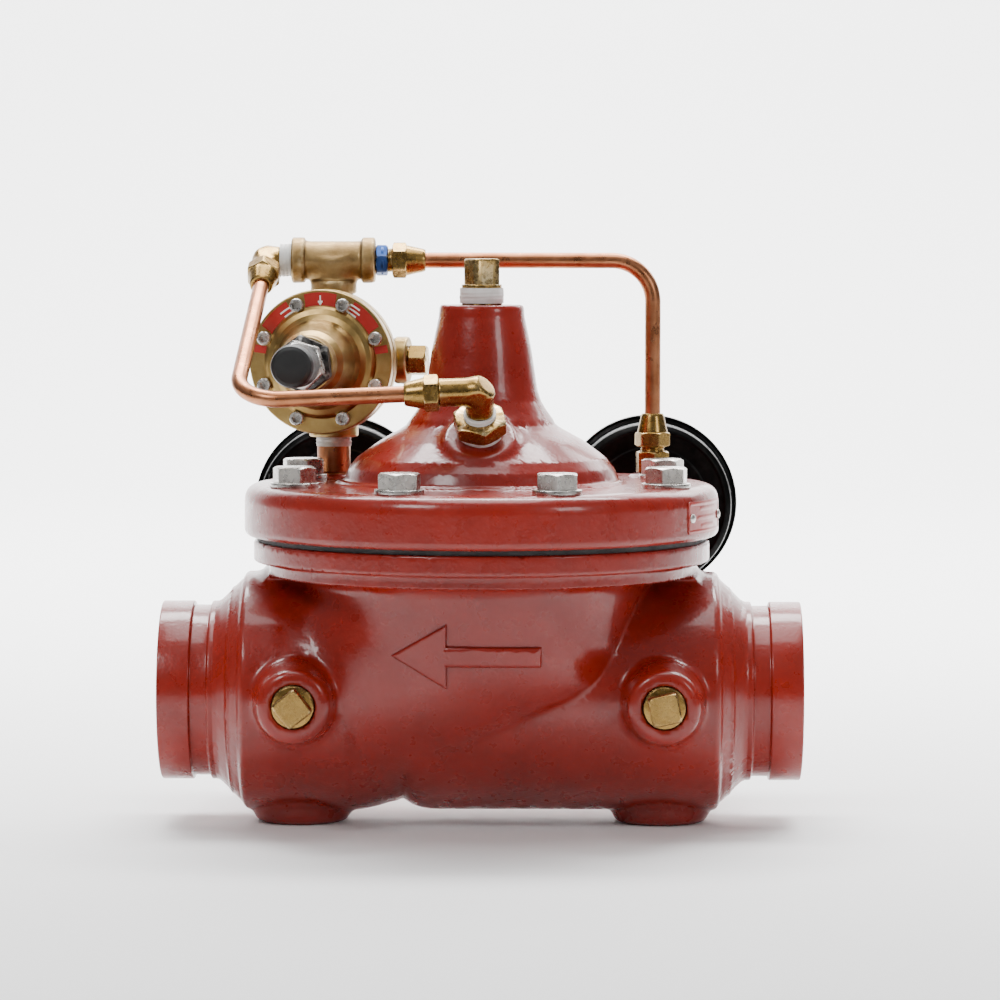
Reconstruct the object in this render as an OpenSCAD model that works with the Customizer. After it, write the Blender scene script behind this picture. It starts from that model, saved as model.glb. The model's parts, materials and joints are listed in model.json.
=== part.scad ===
// Pilot-operated pressure reducing valve, 3 inch, grooved ends, with its pilot, tubing and gauges.
// Millimetres, +Z up. The origin is the centre of the inlet end face, and +X points out of the inlet.

/* [Main valve] */
// Length between the two end faces
face_to_face = 317.5; // [316:0.5:319]
// Outside diameter of the pipe ends
pipe_od = 88.9; // [88.5:0.1:89.3]
// Diameter of the waterway at the ends
bore_d = 77.9; // [76:0.1:79]
// Length of the land outside each coupling groove
end_land = 15.88; // [15.5:0.01:16.2]
// Width of each coupling groove
groove_w = 8.74; // [8.5:0.01:9]
// Diameter at the bottom of each coupling groove
groove_d = 84.94; // [84.6:0.01:85.3]
// Outside radius of the inlet and outlet chambers
lobe_r = 59; // [58:0.5:60]
// Thickness of the cast walls
wall = 9; // [8:0.5:9.5]
// Rise of the outlet chamber over the bridge wall, in degrees
bridge_tilt = 28; // [26:1:30]
// Distance of the feet and the side ports from the stem
port_x = 89.5; // [88:0.5:91]
// Height of the rest plane under the waterway's centre line
foot_drop = 65.4; // [64:0.1:67]
// Radius of each foot
foot_r = 24.4; // [23:0.1:26]
// Radius of each side port boss
boss_r = 21; // [19:0.5:22]
// Distance of the side port faces from the middle plane
boss_face = 80; // [78:0.5:82]

/* [Cover and trim] */
// Radius of the body flange
body_flange_r = 113.3; // [112:0.1:115]
// Height of the body flange's top face
body_top = 75.7; // [75:0.1:76.5]
// Thickness of the diaphragm
diaphragm_t = 2.4; // [2:0.1:3]
// Radius of the cover flange
cover_r = 117.8; // [116:0.1:120]
// Thickness of the cover flange
cover_flange_h = 25.7; // [24:0.1:27]
// Height of the cover's top
cover_top = 193.1; // [192:0.1:195]
// Radius of the bolt circle
bolt_circle_r = 98.4; // [98:0.1:99.5]
// Number of cover bolts
bolt_count = 8; // [8]
// Width across flats of the cover bolts
bolt_af = 19; // [18:0.5:19]
// Bore of the seat
seat_bore_r = 37; // [36:0.1:38]
// Radius of the stem
stem_r = 8; // [7.5:0.1:8.2]
// Lift of the stem between shut and fully open
stem_lift = 20; // [10:1:20]

/* [Pilot] */
// Position of the pilot's vertical port axis, from the stem
pilot_x = -76.5; // [-78:0.5:-75]
// Position of the pilot's vertical port axis behind the stem
pilot_y = 58; // [56:0.5:60]
// Height of the pilot's adjusting axis
pilot_z = 163; // [162:0.5:165]
// Turn of the adjusting axis away from the front, in degrees
pilot_yaw = 8; // [6:1:10]
// Radius of the pilot's flanges
pilot_flange_r = 36.4; // [36:0.1:37]
// Number of pilot screws
pilot_screw_count = 8; // [8]

/* [Tubing] */
// Outside radius of the copper tubing
tube_r = 4; // [3.9:0.1:4.2]
// Wall of the copper tubing
tube_wall = 0.9; // [0.8:0.1:1]
// Radius of the tube bends, to the tube's centre line
bend_r = 21; // [18:1:22]
// Width across flats of the flare nuts
nut_af = 15.9; // [15.5:0.1:16]

/* [Gauges] */
// Height of the gauges above the waterway's centre line
gauge_z = 85; // [84:0.5:87]
// Distance of the gauges' backs behind the stem
gauge_y = 117; // [116:0.5:118]
// Radius of the gauge cases
gauge_case_r = 43; // [42:0.5:43.5]

/* [Hidden] */
$fn = 96;
eps = 0.05;
fit = 0.1;
stem_x = -face_to_face / 2;
pipe_r = pipe_od / 2;
bore_r = bore_d / 2;
cover_base = body_top + diaphragm_t;
flange_top = cover_base + cover_flange_h;
npt_half = 10.6;
npt_three_eighths = 8.6;
npt_quarter = 6.8;

// The bridge wall between the chambers, and the seat on it
bridge_low = 17;
bridge_top = 26;
seat_boss_top = 30;
seat_hole_r = 42;
lip_top = 36.8;

// The moving trim, from the bottom up, with the valve shut
collar_z = 24.5;
guide_z = 27.5;
disc_z = 37;
retainer_z = 43;
retainer_top = 58.3;
washer_z = retainer_top + diaphragm_t;
nut_z = washer_z + 5;
stem_bottom = -14;
stem_top = 156;
spring_seat_z = 133;

// The front port of the cover leans forward and up
port_pos = [0, -50, 134.5];
port_lean = 38;
elbow_reach = 22;

// The pipework above the pilot, and the tube routes, from the stem
tee_z = 213.7;
tee_half = 21.2;
supply_x = 86.2;
adapter_base = flange_top + 1.7;
adapter_nut_z = 119;
fitting_end = 46.5;
elbow_pos = port_pos + elbow_reach * [0, -sin(port_lean), cos(port_lean)];
tee_elbow_pos = [-110.5, pilot_y, tee_z];
control_corner = [-118.5, elbow_pos[1], 146.7];
cover_leg = 19.5;
tee_elbow_dir = unit(control_corner - tee_elbow_pos);
nut_reach = 17;

// Gauge stations: distance from the stem, and the lean of each gauge about its port
GAUGES = [[port_x, -2.2], [-port_x, 9]];
gauge_mid = 14;

// ---------- Helpers ----------

function unit(v) = v / norm(v);

function arc(centre, r, from, to, steps = 6) =
    [for (i = [0 : steps]) let (a = from + (to - from) * i / steps) centre + r * [cos(a), sin(a)]];

// A frame with its origin at o, its z along z and its x near x
function frame_at(o, z, x) =
    let (k = unit(z), j = unit(cross(k, x)), i = cross(j, k))
    [[i[0], j[0], k[0], o[0]], [i[1], j[1], k[1], o[1]], [i[2], j[2], k[2], o[2]], [0, 0, 0, 1]];

module at_stem() {
    translate([stem_x, 0, 0]) children();
}

// z runs along the pilot's adjusting axis towards the knob, y is up
module at_pilot() {
    at_stem() translate([pilot_x, pilot_y, pilot_z]) rotate([90, 0, -pilot_yaw]) children();
}

// z runs out of the front port of the cover, x is to the right
module at_port() {
    at_stem() translate(port_pos) rotate([port_lean, 0, 0]) children();
}

// z runs out of the dial, y is down, and the origin is the middle of the case's back
module at_gauge(station) {
    at_stem() translate([station[0], 0, 0]) rotate([0, station[1], 0])
        translate([0, gauge_y, gauge_z]) rotate([-90, 0, 0]) children();
}

module hex(af, h) {
    cylinder(r = af / sqrt(3), h = h, $fn = 6);
}

// A hexagon with both ends turned down at the corners
module turned_hex(af, h, low = true, high = true) {
    corner = af / sqrt(3);
    drop = (corner - af / 2) * 0.6;
    intersection() {
        hex(af, h);
        rotate_extrude() polygon([
            [0, 0], [low ? af / 2 - 0.1 : corner + 1, 0], [corner + 1, low ? drop * 2 : 0],
            [corner + 1, high ? h - drop * 2 : h], [high ? af / 2 - 0.1 : corner + 1, h], [0, h]
        ]);
    }
}

module ring(outer, inner, h) {
    difference() {
        cylinder(r = outer, h = h);
        translate([0, 0, -1]) cylinder(r = inner, h = h + 2);
    }
}

module rod(from, to, r) {
    side = abs(unit(to - from)[2]) > 0.9 ? [1, 0, 0] : [0, 0, 1];
    multmatrix(frame_at(from, to - from, side)) cylinder(r = r, h = norm(to - from));
}

// A round bar along straight legs, with a bend of radius bend_r at each inner point. Each leg is
// a hair thinner than the bends and runs a little way into them.
module bar_path(points, r) {
    lap = 0.3;
    leg_step = 0.02;
    last = len(points) - 1;
    dirs = [for (i = [0 : last - 1]) unit(points[i + 1] - points[i])];
    turns = [for (i = [1 : last - 1]) acos(dirs[i - 1] * dirs[i])];
    cuts = [for (i = [0 : last]) i == 0 || i == last ? 0 : bend_r * tan(turns[i - 1] / 2)];
    for (i = [0 : last - 1]) {
        lap_in = i == 0 ? 0 : lap;
        lap_out = i == last - 1 ? 0 : lap;
        from = points[i] + dirs[i] * (cuts[i] - lap_in);
        to = points[i + 1] - dirs[i] * (cuts[i + 1] - lap_out);
        rod(from, to, r - leg_step);
    }
    for (i = [1 : last - 1]) {
        u = dirs[i - 1];
        v = dirs[i];
        inward = unit(v - (u * v) * u);
        centre = points[i] - u * cuts[i] + inward * bend_r;
        multmatrix(frame_at(centre, cross(-inward, u), -inward))
            rotate_extrude(angle = turns[i - 1]) translate([bend_r, 0]) circle(r = r);
    }
}

module hollow_path(points, r, thickness) {
    ends = len(points) - 1;
    first = unit(points[1] - points[0]);
    last = unit(points[ends] - points[ends - 1]);
    longer = [for (i = [0 : ends])
        i == 0 ? points[0] - first : i == ends ? points[ends] + last : points[i]];
    difference() {
        bar_path(points, r);
        bar_path(longer, r - thickness);
    }
}

// A round wire wound into a spring with flat-lying ends, swept as a mesh
module coil_spring(r, wire, length, turns, sides = 8, per_turn = 20) {
    steps = turns * per_turn;
    rise = length - wire;
    rings = [for (i = [0 : steps])
        let (
            t = i / steps,
            lift = t < 0.12 ? 0.35 * t : t > 0.88 ? 1 - 0.35 * (1 - t)
                : 0.042 + (t - 0.12) * 0.916 / 0.76,
            a = 360 * turns * t
        )
        [for (k = [0 : sides - 1])
            let (b = 360 * k / sides, out = r + wire / 2 * cos(b))
            [out * cos(a), out * sin(a), wire / 2 + rise * lift + wire / 2 * sin(b)]]];
    points = [for (row = rings) each row];
    walls = [for (i = [0 : steps - 1], k = [0 : sides - 1])
        let (m = (k + 1) % sides)
        [i * sides + k, i * sides + m, (i + 1) * sides + m, (i + 1) * sides + k]];
    caps = [[for (k = [sides - 1 : -1 : 0]) k], [for (k = [0 : sides - 1]) steps * sides + k]];
    polyhedron(points, concat(walls, caps), convexity = 10);
}

module bolt_ring(r, count, offset) {
    for (i = [0 : count - 1])
        rotate([0, 0, offset + i * 360 / count]) translate([r, 0, 0]) children();
}

module at_cover_bolts() {
    at_stem() bolt_ring(bolt_circle_r, bolt_count, 180 / bolt_count) children();
}

// ---------- Body and seat ----------

// One grooved pipe end and the shoulder behind it, drawn for the inlet side of the stem
module pipe_end() {
    groove_out = end_land;
    groove_in = end_land + groove_w;
    translate([face_to_face / 2, 0, 0]) rotate([0, 90, 0]) rotate_extrude() polygon([
        [0, 0], [pipe_r, 0], [pipe_r, -groove_out], [groove_d / 2, -groove_out],
        [groove_d / 2, -groove_in], [pipe_r, -groove_in], [pipe_r, -28.5],
        [lobe_r - 5, -38], [lobe_r - 1.5, -43], [lobe_r - 1.5, -70], [0, -70]
    ]);
}

module lying_cylinder(from, to, r) {
    translate([from, 0, 0]) rotate([0, 90, 0]) cylinder(r = r, h = to - from);
}

// The inlet side, with a round end under the seat
module inlet_lobe(r) {
    lying_cylinder(-8, 116, r);
    translate([-8, 0, 0]) rotate([0, -45, 0]) sphere(r = r);
}

// The outlet side, which climbs over the bridge wall, a little fuller at the bend
module outlet_lobe(r, reach) {
    lying_cylinder(-116, -67, r);
    translate([-67, 0, 0]) rotate([0, 90 - bridge_tilt, 0]) {
        sphere(r = r + 2);
        cylinder(r = r, h = reach);
    }
}

// Everything below a bridge line that is flat under the seat and climbs towards the inlet
module under_bridge(height, flat_to, rise_x, rise_z) {
    rotate([90, 0, 0]) translate([0, 0, -100]) linear_extrude(200) polygon([
        [-90, -90], [-90, height], [flat_to, height], [rise_x, rise_z],
        [130, rise_z + 8], [130, -90]
    ]);
}

module body_outside() {
    difference() {
        union() {
            inlet_lobe(lobe_r);
            outlet_lobe(lobe_r + 0.5, 105);
            translate([0.4, 0, 6]) cylinder(r1 = 61, r2 = 84.3, h = 60);
        }
        translate([-200, -200, 62]) cube([400, 400, 100]);
    }
    pipe_end();
    mirror([1, 0, 0]) pipe_end();
    translate([0, 0, 57.8]) cylinder(r = 108.5, h = 9);
    translate([0, 0, body_top - 10.2]) cylinder(r = body_flange_r, h = 10.2);
    for (side = [-1, 1]) {
        translate([side * port_x, 0, -foot_drop]) cylinder(r = foot_r, h = 30);
        translate([side * port_x, 0, 0]) rotate([90, 0, 0])
            cylinder(r = boss_r, h = boss_face * 2, center = true);
    }
}

module outlet_chamber() {
    difference() {
        union() {
            outlet_lobe(lobe_r - wall, 78);
            translate([0, 0, 20]) cylinder(r1 = 57, r2 = 75, h = 40);
            translate([0, 0, 55]) cylinder(r = 73, h = 30);
        }
        intersection() {
            inlet_lobe(lobe_r - 0.3);
            under_bridge(bridge_top, 52, 82, 52);
        }
        translate([0, 0, -10]) cylinder(r = 52, h = 10 + seat_boss_top);
    }
}

module inlet_chamber() {
    intersection() {
        inlet_lobe(lobe_r - wall);
        under_bridge(bridge_low, 48, 74, 40);
    }
}

// The threaded holes that lead to the pilot ports on the cover flange
module port_passages() {
    translate([pilot_x, pilot_y, body_top - 8]) cylinder(r = 5, h = 20);
    rod([pilot_x, pilot_y, body_top - 6], [-48, 34, 50], 3);
    translate([supply_x, pilot_y, body_top - 8]) cylinder(r = 5, h = 20);
    rod([supply_x, pilot_y, body_top - 5], [74, 25, 20], 3.1);
}

module valve_body() {
    color("firebrick") at_stem() difference() {
        body_outside();
        outlet_chamber();
        inlet_chamber();
        lying_cylinder(105, 170, bore_r);
        lying_cylinder(-170, -105, bore_r);
        translate([0, 0, 5]) cylinder(r = seat_hole_r, h = 30);
        for (side = [-1, 1], face = [-1, 1])
            translate([side * port_x, face * (boss_face - 20), 0]) rotate([90, 0, 0])
                cylinder(r = npt_half, h = 50, center = true);
        bolt_ring(bolt_circle_r, bolt_count, 180 / bolt_count)
            translate([0, 0, 50]) cylinder(r = 6, h = 40);
        port_passages();
    }
}

module seat_ring() {
    color("silver") at_stem() {
        difference() {
            rotate_extrude() polygon([
                [seat_bore_r, 16], [seat_hole_r - fit, 16], [seat_hole_r - fit, seat_boss_top],
                [50, seat_boss_top], [50, 33.5], [41.5, 33.5], [41, lip_top], [39, lip_top],
                [seat_bore_r, 34]
            ]);
            translate([0, 0, 18.4]) ring(seat_hole_r + 1, seat_hole_r - 3.2, 3.2);
        }
        for (a = [30, 150, 270]) rotate([0, 0, a]) difference() {
            translate([11, -3, 16]) cube([seat_bore_r - 10.5, 6, 6]);
            translate([0, 0, 10]) cylinder(r = 11.3, h = 20);
        }
        translate([0, 0, 12]) ring(13, 11, 10);
    }
}

module seat_o_ring() {
    color("black") at_stem() translate([0, 0, 20]) rotate_extrude()
        translate([seat_hole_r - 1.62, 0]) circle(r = 1.56);
}

module lower_bearing() {
    color("peru") at_stem() translate([0, 0, 12]) {
        ring(11 - fit, stem_r + 0.06, 10);
        translate([0, 0, 10]) ring(12.5, stem_r + 0.06, 1);
    }
}

// ---------- Moving trim ----------

module stem() {
    color("silver") at_stem() {
        translate([0, 0, stem_bottom]) cylinder(r1 = stem_r - 1, r2 = stem_r, h = 1);
        translate([0, 0, stem_bottom + 1]) cylinder(r = stem_r, h = stem_top - stem_bottom - 2);
        translate([0, 0, stem_top - 1]) cylinder(r1 = stem_r, r2 = stem_r - 1, h = 1);
        translate([0, 0, collar_z]) cylinder(r = stem_r + 3, h = guide_z - collar_z);
    }
}

module disc_guide() {
    color("goldenrod") at_stem() difference() {
        rotate_extrude() polygon([
            [stem_r + 0.03, guide_z], [13, guide_z], [13, 33.5], [34.3, 33.5], [34.3, 26],
            [seat_bore_r - 0.2, 26], [seat_bore_r - 0.2, disc_z], [30, disc_z], [30, 40],
            [stem_r + 0.03, 40]
        ]);
        for (a = [0 : 60 : 300]) rotate([0, 0, a]) translate([30, 0, 26]) rotate([90, 0, 90])
            linear_extrude(10) polygon([[-9, -1], [9, -1], [2, 7], [-2, 7]]);
    }
}

module seat_disc() {
    color("black") at_stem() translate([0, 0, disc_z]) ring(45.6, 30 + fit, retainer_z - disc_z);
}

module disc_retainer() {
    color("slategray") at_stem() rotate_extrude() polygon([
        [stem_r + 0.03, 40], [30, 40], [30, retainer_z], [45.8, retainer_z], [45.8, disc_z],
        [49, disc_z], [50, disc_z + 1], [50, 50], [46, 54], [46, retainer_top - 1.5],
        [44.5, retainer_top], [stem_r + 0.03, retainer_top]
    ]);
}

module diaphragm() {
    mid = retainer_top;
    flat = 48;
    color("dimgray") at_stem() difference() {
        rotate_extrude() polygon([
            [stem_r + 0.03, mid], [flat, mid], [flat + 4, mid + 0.8], [68, body_top - 1],
            [73, body_top], [111.5, body_top], [111.5, cover_base], [72, cover_base],
            [66, cover_base - 1], [flat + 3, washer_z + 1], [flat, washer_z],
            [stem_r + 0.03, washer_z]
        ]);
        bolt_ring(bolt_circle_r, bolt_count, 180 / bolt_count)
            translate([0, 0, 70]) cylinder(r = 6.6, h = 20);
        for (x = [pilot_x, supply_x]) translate([x, pilot_y, 70]) cylinder(r = 5, h = 20);
    }
}

module diaphragm_washer() {
    color("silver") at_stem() rotate_extrude() polygon([
        [stem_r + 0.03, washer_z], [44.5, washer_z], [46, washer_z + 1.5], [46, nut_z - 1],
        [45, nut_z], [stem_r + 0.03, nut_z]
    ]);
}

module stem_nut() {
    color("silver") at_stem() translate([0, 0, nut_z]) difference() {
        turned_hex(24, 10);
        translate([0, 0, -1]) cylinder(r = stem_r + 0.03, h = 12);
    }
}

module main_spring() {
    color("gainsboro") at_stem() translate([0, 0, nut_z])
        coil_spring(20, 4, spring_seat_z - nut_z, 7);
}

module cover_bearing() {
    color("peru") at_stem() translate([0, 0, 136]) ring(13 - fit, stem_r + 0.06, 18);
}

// ---------- Cover ----------

// Outline of the cover, from the flange up to the top of the tower, as (radius, height)
function cover_outline() = concat(
    [[0, cover_base], [cover_r - 2.5, cover_base]],
    arc([cover_r - 2.5, cover_base + 2.5], 2.5, -60, 0, 3),
    arc([cover_r - 5, flange_top - 5], 5, 0, 90, 5),
    [[70.5, flange_top], [68.6, flange_top + 1], [67.6, 108], [62, 116], [50.5, 125], [39, 131.2]],
    [[36.2, 133.2], [29.5, 144], [27.6, 150], [24.7, 170], [21.4, 185]],
    arc([18.2, cover_top - 2.7], 2.7, 15, 90, 4),
    [[0, cover_top]]
);

// The pressure chamber above the diaphragm, as (radius, height)
function chamber_outline() = [
    [0, cover_base - 1], [76, cover_base - 1], [76, cover_base], [74, 84], [62, 104],
    [54, 113], [42, 122.5], [30, spring_seat_z - 5], [28, spring_seat_z], [13, spring_seat_z],
    [13, 178], [0, 180]
];

module cover() {
    color("firebrick") difference() {
        union() {
            at_stem() rotate_extrude() polygon(cover_outline());
            at_port() translate([0, 0, -26]) cylinder(r1 = 20, r2 = 16.5, h = 20);
            at_stem() for (x = [pilot_x, supply_x])
                translate([x, pilot_y, flange_top - 1]) cylinder(r = 11.5, h = 2.2);
        }
        at_stem() rotate_extrude() polygon(chamber_outline());
        at_stem() translate([0, 0, 170]) cylinder(r = npt_half, h = 30);
        at_port() translate([0, 0, -45]) cylinder(r = npt_three_eighths, h = 45);
        at_cover_bolts() translate([0, 0, 70]) cylinder(r = 6.75, h = 40);
        at_cover_bolts() translate([0, 0, flange_top - 0.3]) cylinder(r = 12.8, h = 8);
        at_stem() translate([pilot_x, pilot_y, 90]) cylinder(r = npt_three_eighths, h = 30);
        at_stem() translate([pilot_x, pilot_y, 70]) cylinder(r = 5, h = 30);
        at_stem() translate([supply_x, pilot_y, 92]) cylinder(r = npt_quarter, h = 30);
        at_stem() translate([supply_x, pilot_y, 70]) cylinder(r = 5, h = 30);
        at_rivets() cylinder(r = 1.65, h = 12);
    }
}

module cover_bolts() {
    head = flange_top - 0.3 + 2.5;
    color("silver") at_cover_bolts() {
        translate([0, 0, head]) rotate([0, 0, 11]) turned_hex(bolt_af, 7.8, low = false);
        translate([0, 0, body_top - 9]) cylinder(r = 6 - eps, h = head - body_top + 9 + eps);
    }
}

module cover_washers() {
    color("gainsboro") at_cover_bolts()
        translate([0, 0, flange_top - 0.3]) ring(12, 6.5, 2.5);
}

// A pipe plug with a square head: z points out of the hole, and z = 0 is the boss face
module square_plug(thread_r, depth, square, height, turn) {
    translate([0, 0, -depth]) cylinder(r = thread_r - fit, h = depth + 1.5);
    intersection() {
        rotate([0, 0, turn]) translate([-square / 2, -square / 2, 1])
            cube([square, square, height - 1]);
        cylinder(r1 = square * 0.7 + 1.5, r2 = square * 0.62, h = height);
    }
}

module side_plugs() {
    color("darkgoldenrod") at_stem() for (plug = [[1, 12], [-1, 38]])
        translate([plug[0] * port_x, -boss_face, 0]) rotate([90, 0, 0])
            square_plug(npt_half, 16, 14.6, 10, plug[1]);
}

module top_plug() {
    color("darkgoldenrod") at_stem() translate([0, 0, cover_top + 8])
        square_plug(npt_half, 19.5, 14, 14, 28);
}

// Wraps of white tape in the mouths of the pipe threads
module thread_tape() {
    color("white") {
        at_stem() translate([0, 0, cover_top]) ring(11.2, npt_half, 7.5);
        at_port() translate([0, 0, -6]) ring(10.8, npt_three_eighths, 3.5);
        at_port() translate([0, 0, 6]) ring(8.2, 6.5, 2.5);
        at_pilot() rotate([90, 0, 0]) translate([0, 0, 39]) ring(9.2, npt_three_eighths, 5);
        at_stem() translate([pilot_x - tee_half - 6, pilot_y, tee_z]) rotate([0, 90, 0])
            ring(8.6, 6.9, 6);
    }
}

module at_rivets() {
    at_stem() for (a = [-29.4, -10.2]) rotate([0, 0, a])
        translate([cover_r - 8, 0, cover_base + cover_flange_h * 0.46]) rotate([0, 90, 0])
            children();
}

module nameplate() {
    color("indianred") difference() {
        at_stem() rotate([0, 0, -31]) rotate_extrude(angle = 22.5)
            translate([cover_r + 0.02, cover_base + 4]) square([0.7, 16]);
        at_rivets() cylinder(r = 1.65, h = 12);
    }
}

module nameplate_rivets() {
    color("silver") at_rivets() {
        cylinder(r = 1.6, h = 9);
        translate([0, 0, 8.8]) cylinder(r1 = 2.4, r2 = 1.6, h = 0.8);
    }
}

// ---------- Pilot ----------

pilot_joint = 26;
bonnet_top = 74;

module pilot_body() {
    color("goldenrod") at_pilot() difference() {
        union() {
            translate([0, 0, -24]) cylinder(r = 19, h = 44);
            translate([0, 0, pilot_joint - 8]) cylinder(r = pilot_flange_r, h = 8);
            rotate([90, 0, 0]) cylinder(r = 12.5, h = 39);
            rotate([-90, 0, 0]) cylinder(r = 12.5, h = 29);
            rotate([0, 90, 0]) cylinder(r = 12, h = 39);
        }
        translate([0, 0, -16]) cylinder(r = 9, h = 14);
        translate([0, 0, pilot_joint - 5]) cylinder(r = 26, h = 30);
        translate([0, 0, -5]) cylinder(r = 4, h = 30);
        translate([0, 0, -3]) cylinder(r = 7, h = 8);
        rotate([90, 0, 0]) translate([0, 0, 25]) cylinder(r = npt_three_eighths, h = 20);
        translate([0, 0, 2]) rotate([90, 0, 0]) cylinder(r = 2.5, h = 30);
        rotate([-90, 0, 0]) translate([0, 0, 17]) cylinder(r = npt_three_eighths, h = 20);
        translate([0, 0, -9]) rotate([-90, 0, 0]) cylinder(r = 4, h = 25);
        rotate([0, 90, 0]) translate([0, 0, 26]) cylinder(r = npt_quarter, h = 20);
        translate([0, 0, 2]) rotate([0, 90, 0]) cylinder(r = 2.5, h = 30);
        bolt_ring(30.7, pilot_screw_count, 22.5)
            translate([0, 0, pilot_joint - 9]) cylinder(r = 2, h = 20);
    }
}

module pilot_seat() {
    color("silver") at_pilot() translate([0, 0, -6]) difference() {
        union() {
            cylinder(r = 8.9, h = 3);
            translate([0, 0, -0.8]) cylinder(r1 = 4.4, r2 = 5, h = 1);
            translate([0, 0, 2.9]) cylinder(r = 6.9, h = 3);
        }
        translate([0, 0, -2]) cylinder(r = 3.4, h = 10);
    }
}

module pilot_poppet() {
    color("silver") at_pilot() {
        translate([0, 0, -12]) cylinder(r = 7, h = 3.6);
        translate([0, 0, -14.5]) cylinder(r = 3, h = 3);
        translate([0, 0, -9]) cylinder(r = 2, h = 31);
    }
}

module pilot_diaphragm() {
    color("dimgray") at_pilot() difference() {
        translate([0, 0, pilot_joint]) ring(pilot_flange_r - 0.6, 2.2, 1.4);
        bolt_ring(30.7, pilot_screw_count, 22.5)
            translate([0, 0, 20]) cylinder(r = 2.3, h = 20);
    }
}

module pilot_diaphragm_plate() {
    color("silver") at_pilot() translate([0, 0, pilot_joint + 1.4]) {
        cylinder(r = 15, h = 3);
        translate([0, 0, -5.4]) cylinder(r = 2, h = 6);
        translate([0, 0, 2.9]) cylinder(r = 6, h = 2);
    }
}

module pilot_spring() {
    color("gainsboro") at_pilot() translate([0, 0, pilot_joint + 4.4])
        coil_spring(9, 2.8, 25.5, 5, per_turn = 18);
}

module pilot_spring_button() {
    color("silver") at_pilot() translate([0, 0, pilot_joint + 29.9]) {
        cylinder(r = 11, h = 3);
        translate([0, 0, -4]) cylinder(r1 = 5.5, r2 = 7, h = 4.5);
    }
}

module pilot_bonnet() {
    base = pilot_joint + 1.4;
    color("goldenrod") at_pilot() difference() {
        rotate_extrude() polygon([
            [0, base], [pilot_flange_r, base], [pilot_flange_r, base + 7],
            [pilot_flange_r - 1, base + 8], [26.5, base + 8], [26, base + 10.5], [23.5, base + 11.5],
            [21, base + 14], [18, base + 24], [15.5, base + 34], [14, base + 37],
            [14, bonnet_top], [0, bonnet_top]
        ]);
        rotate_extrude() polygon([
            [0, base - 1], [18, base - 1], [18, base + 8], [14, base + 24], [12, base + 30],
            [12, base + 38], [5.06, base + 38], [5.06, bonnet_top + 1], [0, bonnet_top + 1]
        ]);
        bolt_ring(30.7, pilot_screw_count, 22.5)
            translate([0, 0, base - 1]) cylinder(r = 2.3, h = 20);
    }
}

module pilot_screws() {
    head = pilot_joint + 9.4;
    color("silver") at_pilot() bolt_ring(30.7, pilot_screw_count, 22.5) {
        translate([0, 0, pilot_joint - 8.5]) cylinder(r = 2 - eps, h = 18);
        difference() {
            translate([0, 0, head]) cylinder(r = 3.5, h = 4);
            translate([0, 0, head + 1.6]) hex(3, 4);
        }
    }
}

module pilot_jam_nut() {
    color([0.08, 0.08, 0.09]) at_pilot() translate([0, 0, bonnet_top + 0.1]) difference() {
        turned_hex(26, 7);
        translate([0, 0, -1]) cylinder(r = 5.06, h = 10);
    }
}

module pilot_adjusting_screw() {
    color("silver") at_pilot() {
        translate([0, 0, pilot_joint + 33]) cylinder(r = 5, h = 27);
        translate([0, 0, bonnet_top + 9.2]) turned_hex(22, 7.8);
        translate([0, 0, bonnet_top + 16.9]) cylinder(r = 8, h = 10);
    }
}

module pilot_screw_cap() {
    color([0.05, 0.05, 0.06]) at_pilot() translate([0, 0, bonnet_top + 17.1]) difference() {
        rotate_extrude() polygon([
            [0, 0], [10, 0], [10.7, 1], [10.7, 16], [9.5, 18.3], [7.8, 19.2], [0, 19.4]
        ]);
        translate([0, 0, -1]) cylinder(r = 8.05, h = 11);
    }
}

module pilot_label() {
    color("crimson") at_pilot() difference() {
        translate([0, 0, pilot_joint + 9.42]) rotate([0, 0, 8]) rotate_extrude(angle = 164)
            translate([26.8, 0]) square([8.2, 0.3]);
        bolt_ring(30.7, pilot_screw_count, 22.5)
            translate([0, 0, pilot_joint]) cylinder(r = 4, h = 20);
    }
}

module pilot_side_plug() {
    color("darkgoldenrod") at_pilot() rotate([0, 90, 0]) {
        translate([0, 0, 29]) cylinder(r = npt_quarter - fit, h = 11);
        translate([0, 0, 39.4]) rotate([0, 0, 20]) turned_hex(14.3, 9);
    }
}

// ---------- Pipework ----------

module pilot_outlet_nipple() {
    top = pilot_z - 28;
    color("chocolate") at_stem() translate([pilot_x, pilot_y, 92])
        ring(npt_three_eighths - fit / 2, 6.2, top - 92);
}

module tee_nipple() {
    color("darkgoldenrod") at_stem() translate([pilot_x, pilot_y, pilot_z + 18])
        ring(npt_three_eighths - fit / 2, 6.2, 22.5);
}

module tee() {
    color("darkgoldenrod") at_stem() translate([pilot_x, pilot_y, tee_z]) difference() {
        union() {
            rotate([0, 90, 0]) cylinder(r = 10.2, h = tee_half * 2, center = true);
            for (side = [-1, 1]) translate([side * (tee_half - 3.5), 0, 0]) rotate([0, 90, 0])
                cylinder(r = 11.7, h = 7, center = true);
            translate([0, 0, -17]) cylinder(r = 10.2, h = 17);
            translate([0, 0, -17]) cylinder(r = 11.7, h = 6);
        }
        for (side = [-1, 1]) rotate([0, side * 90, 0]) translate([0, 0, 10])
            cylinder(r = 6.9, h = 20);
        rotate([0, 90, 0]) cylinder(r = 6, h = 24, center = true);
        translate([0, 0, -20]) cylinder(r = npt_three_eighths, h = 10.5);
        translate([0, 0, -12]) cylinder(r = 6, h = 12);
    }
}

// A forged elbow body: one leg in from the thread, one leg out to a flare nut
module forged_elbow(inlet, outlet, r) {
    rod([0, 0, 0], inlet, r);
    rod([0, 0, 0], outlet, r - 0.2);
    sphere(r = r + 0.3);
}

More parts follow.
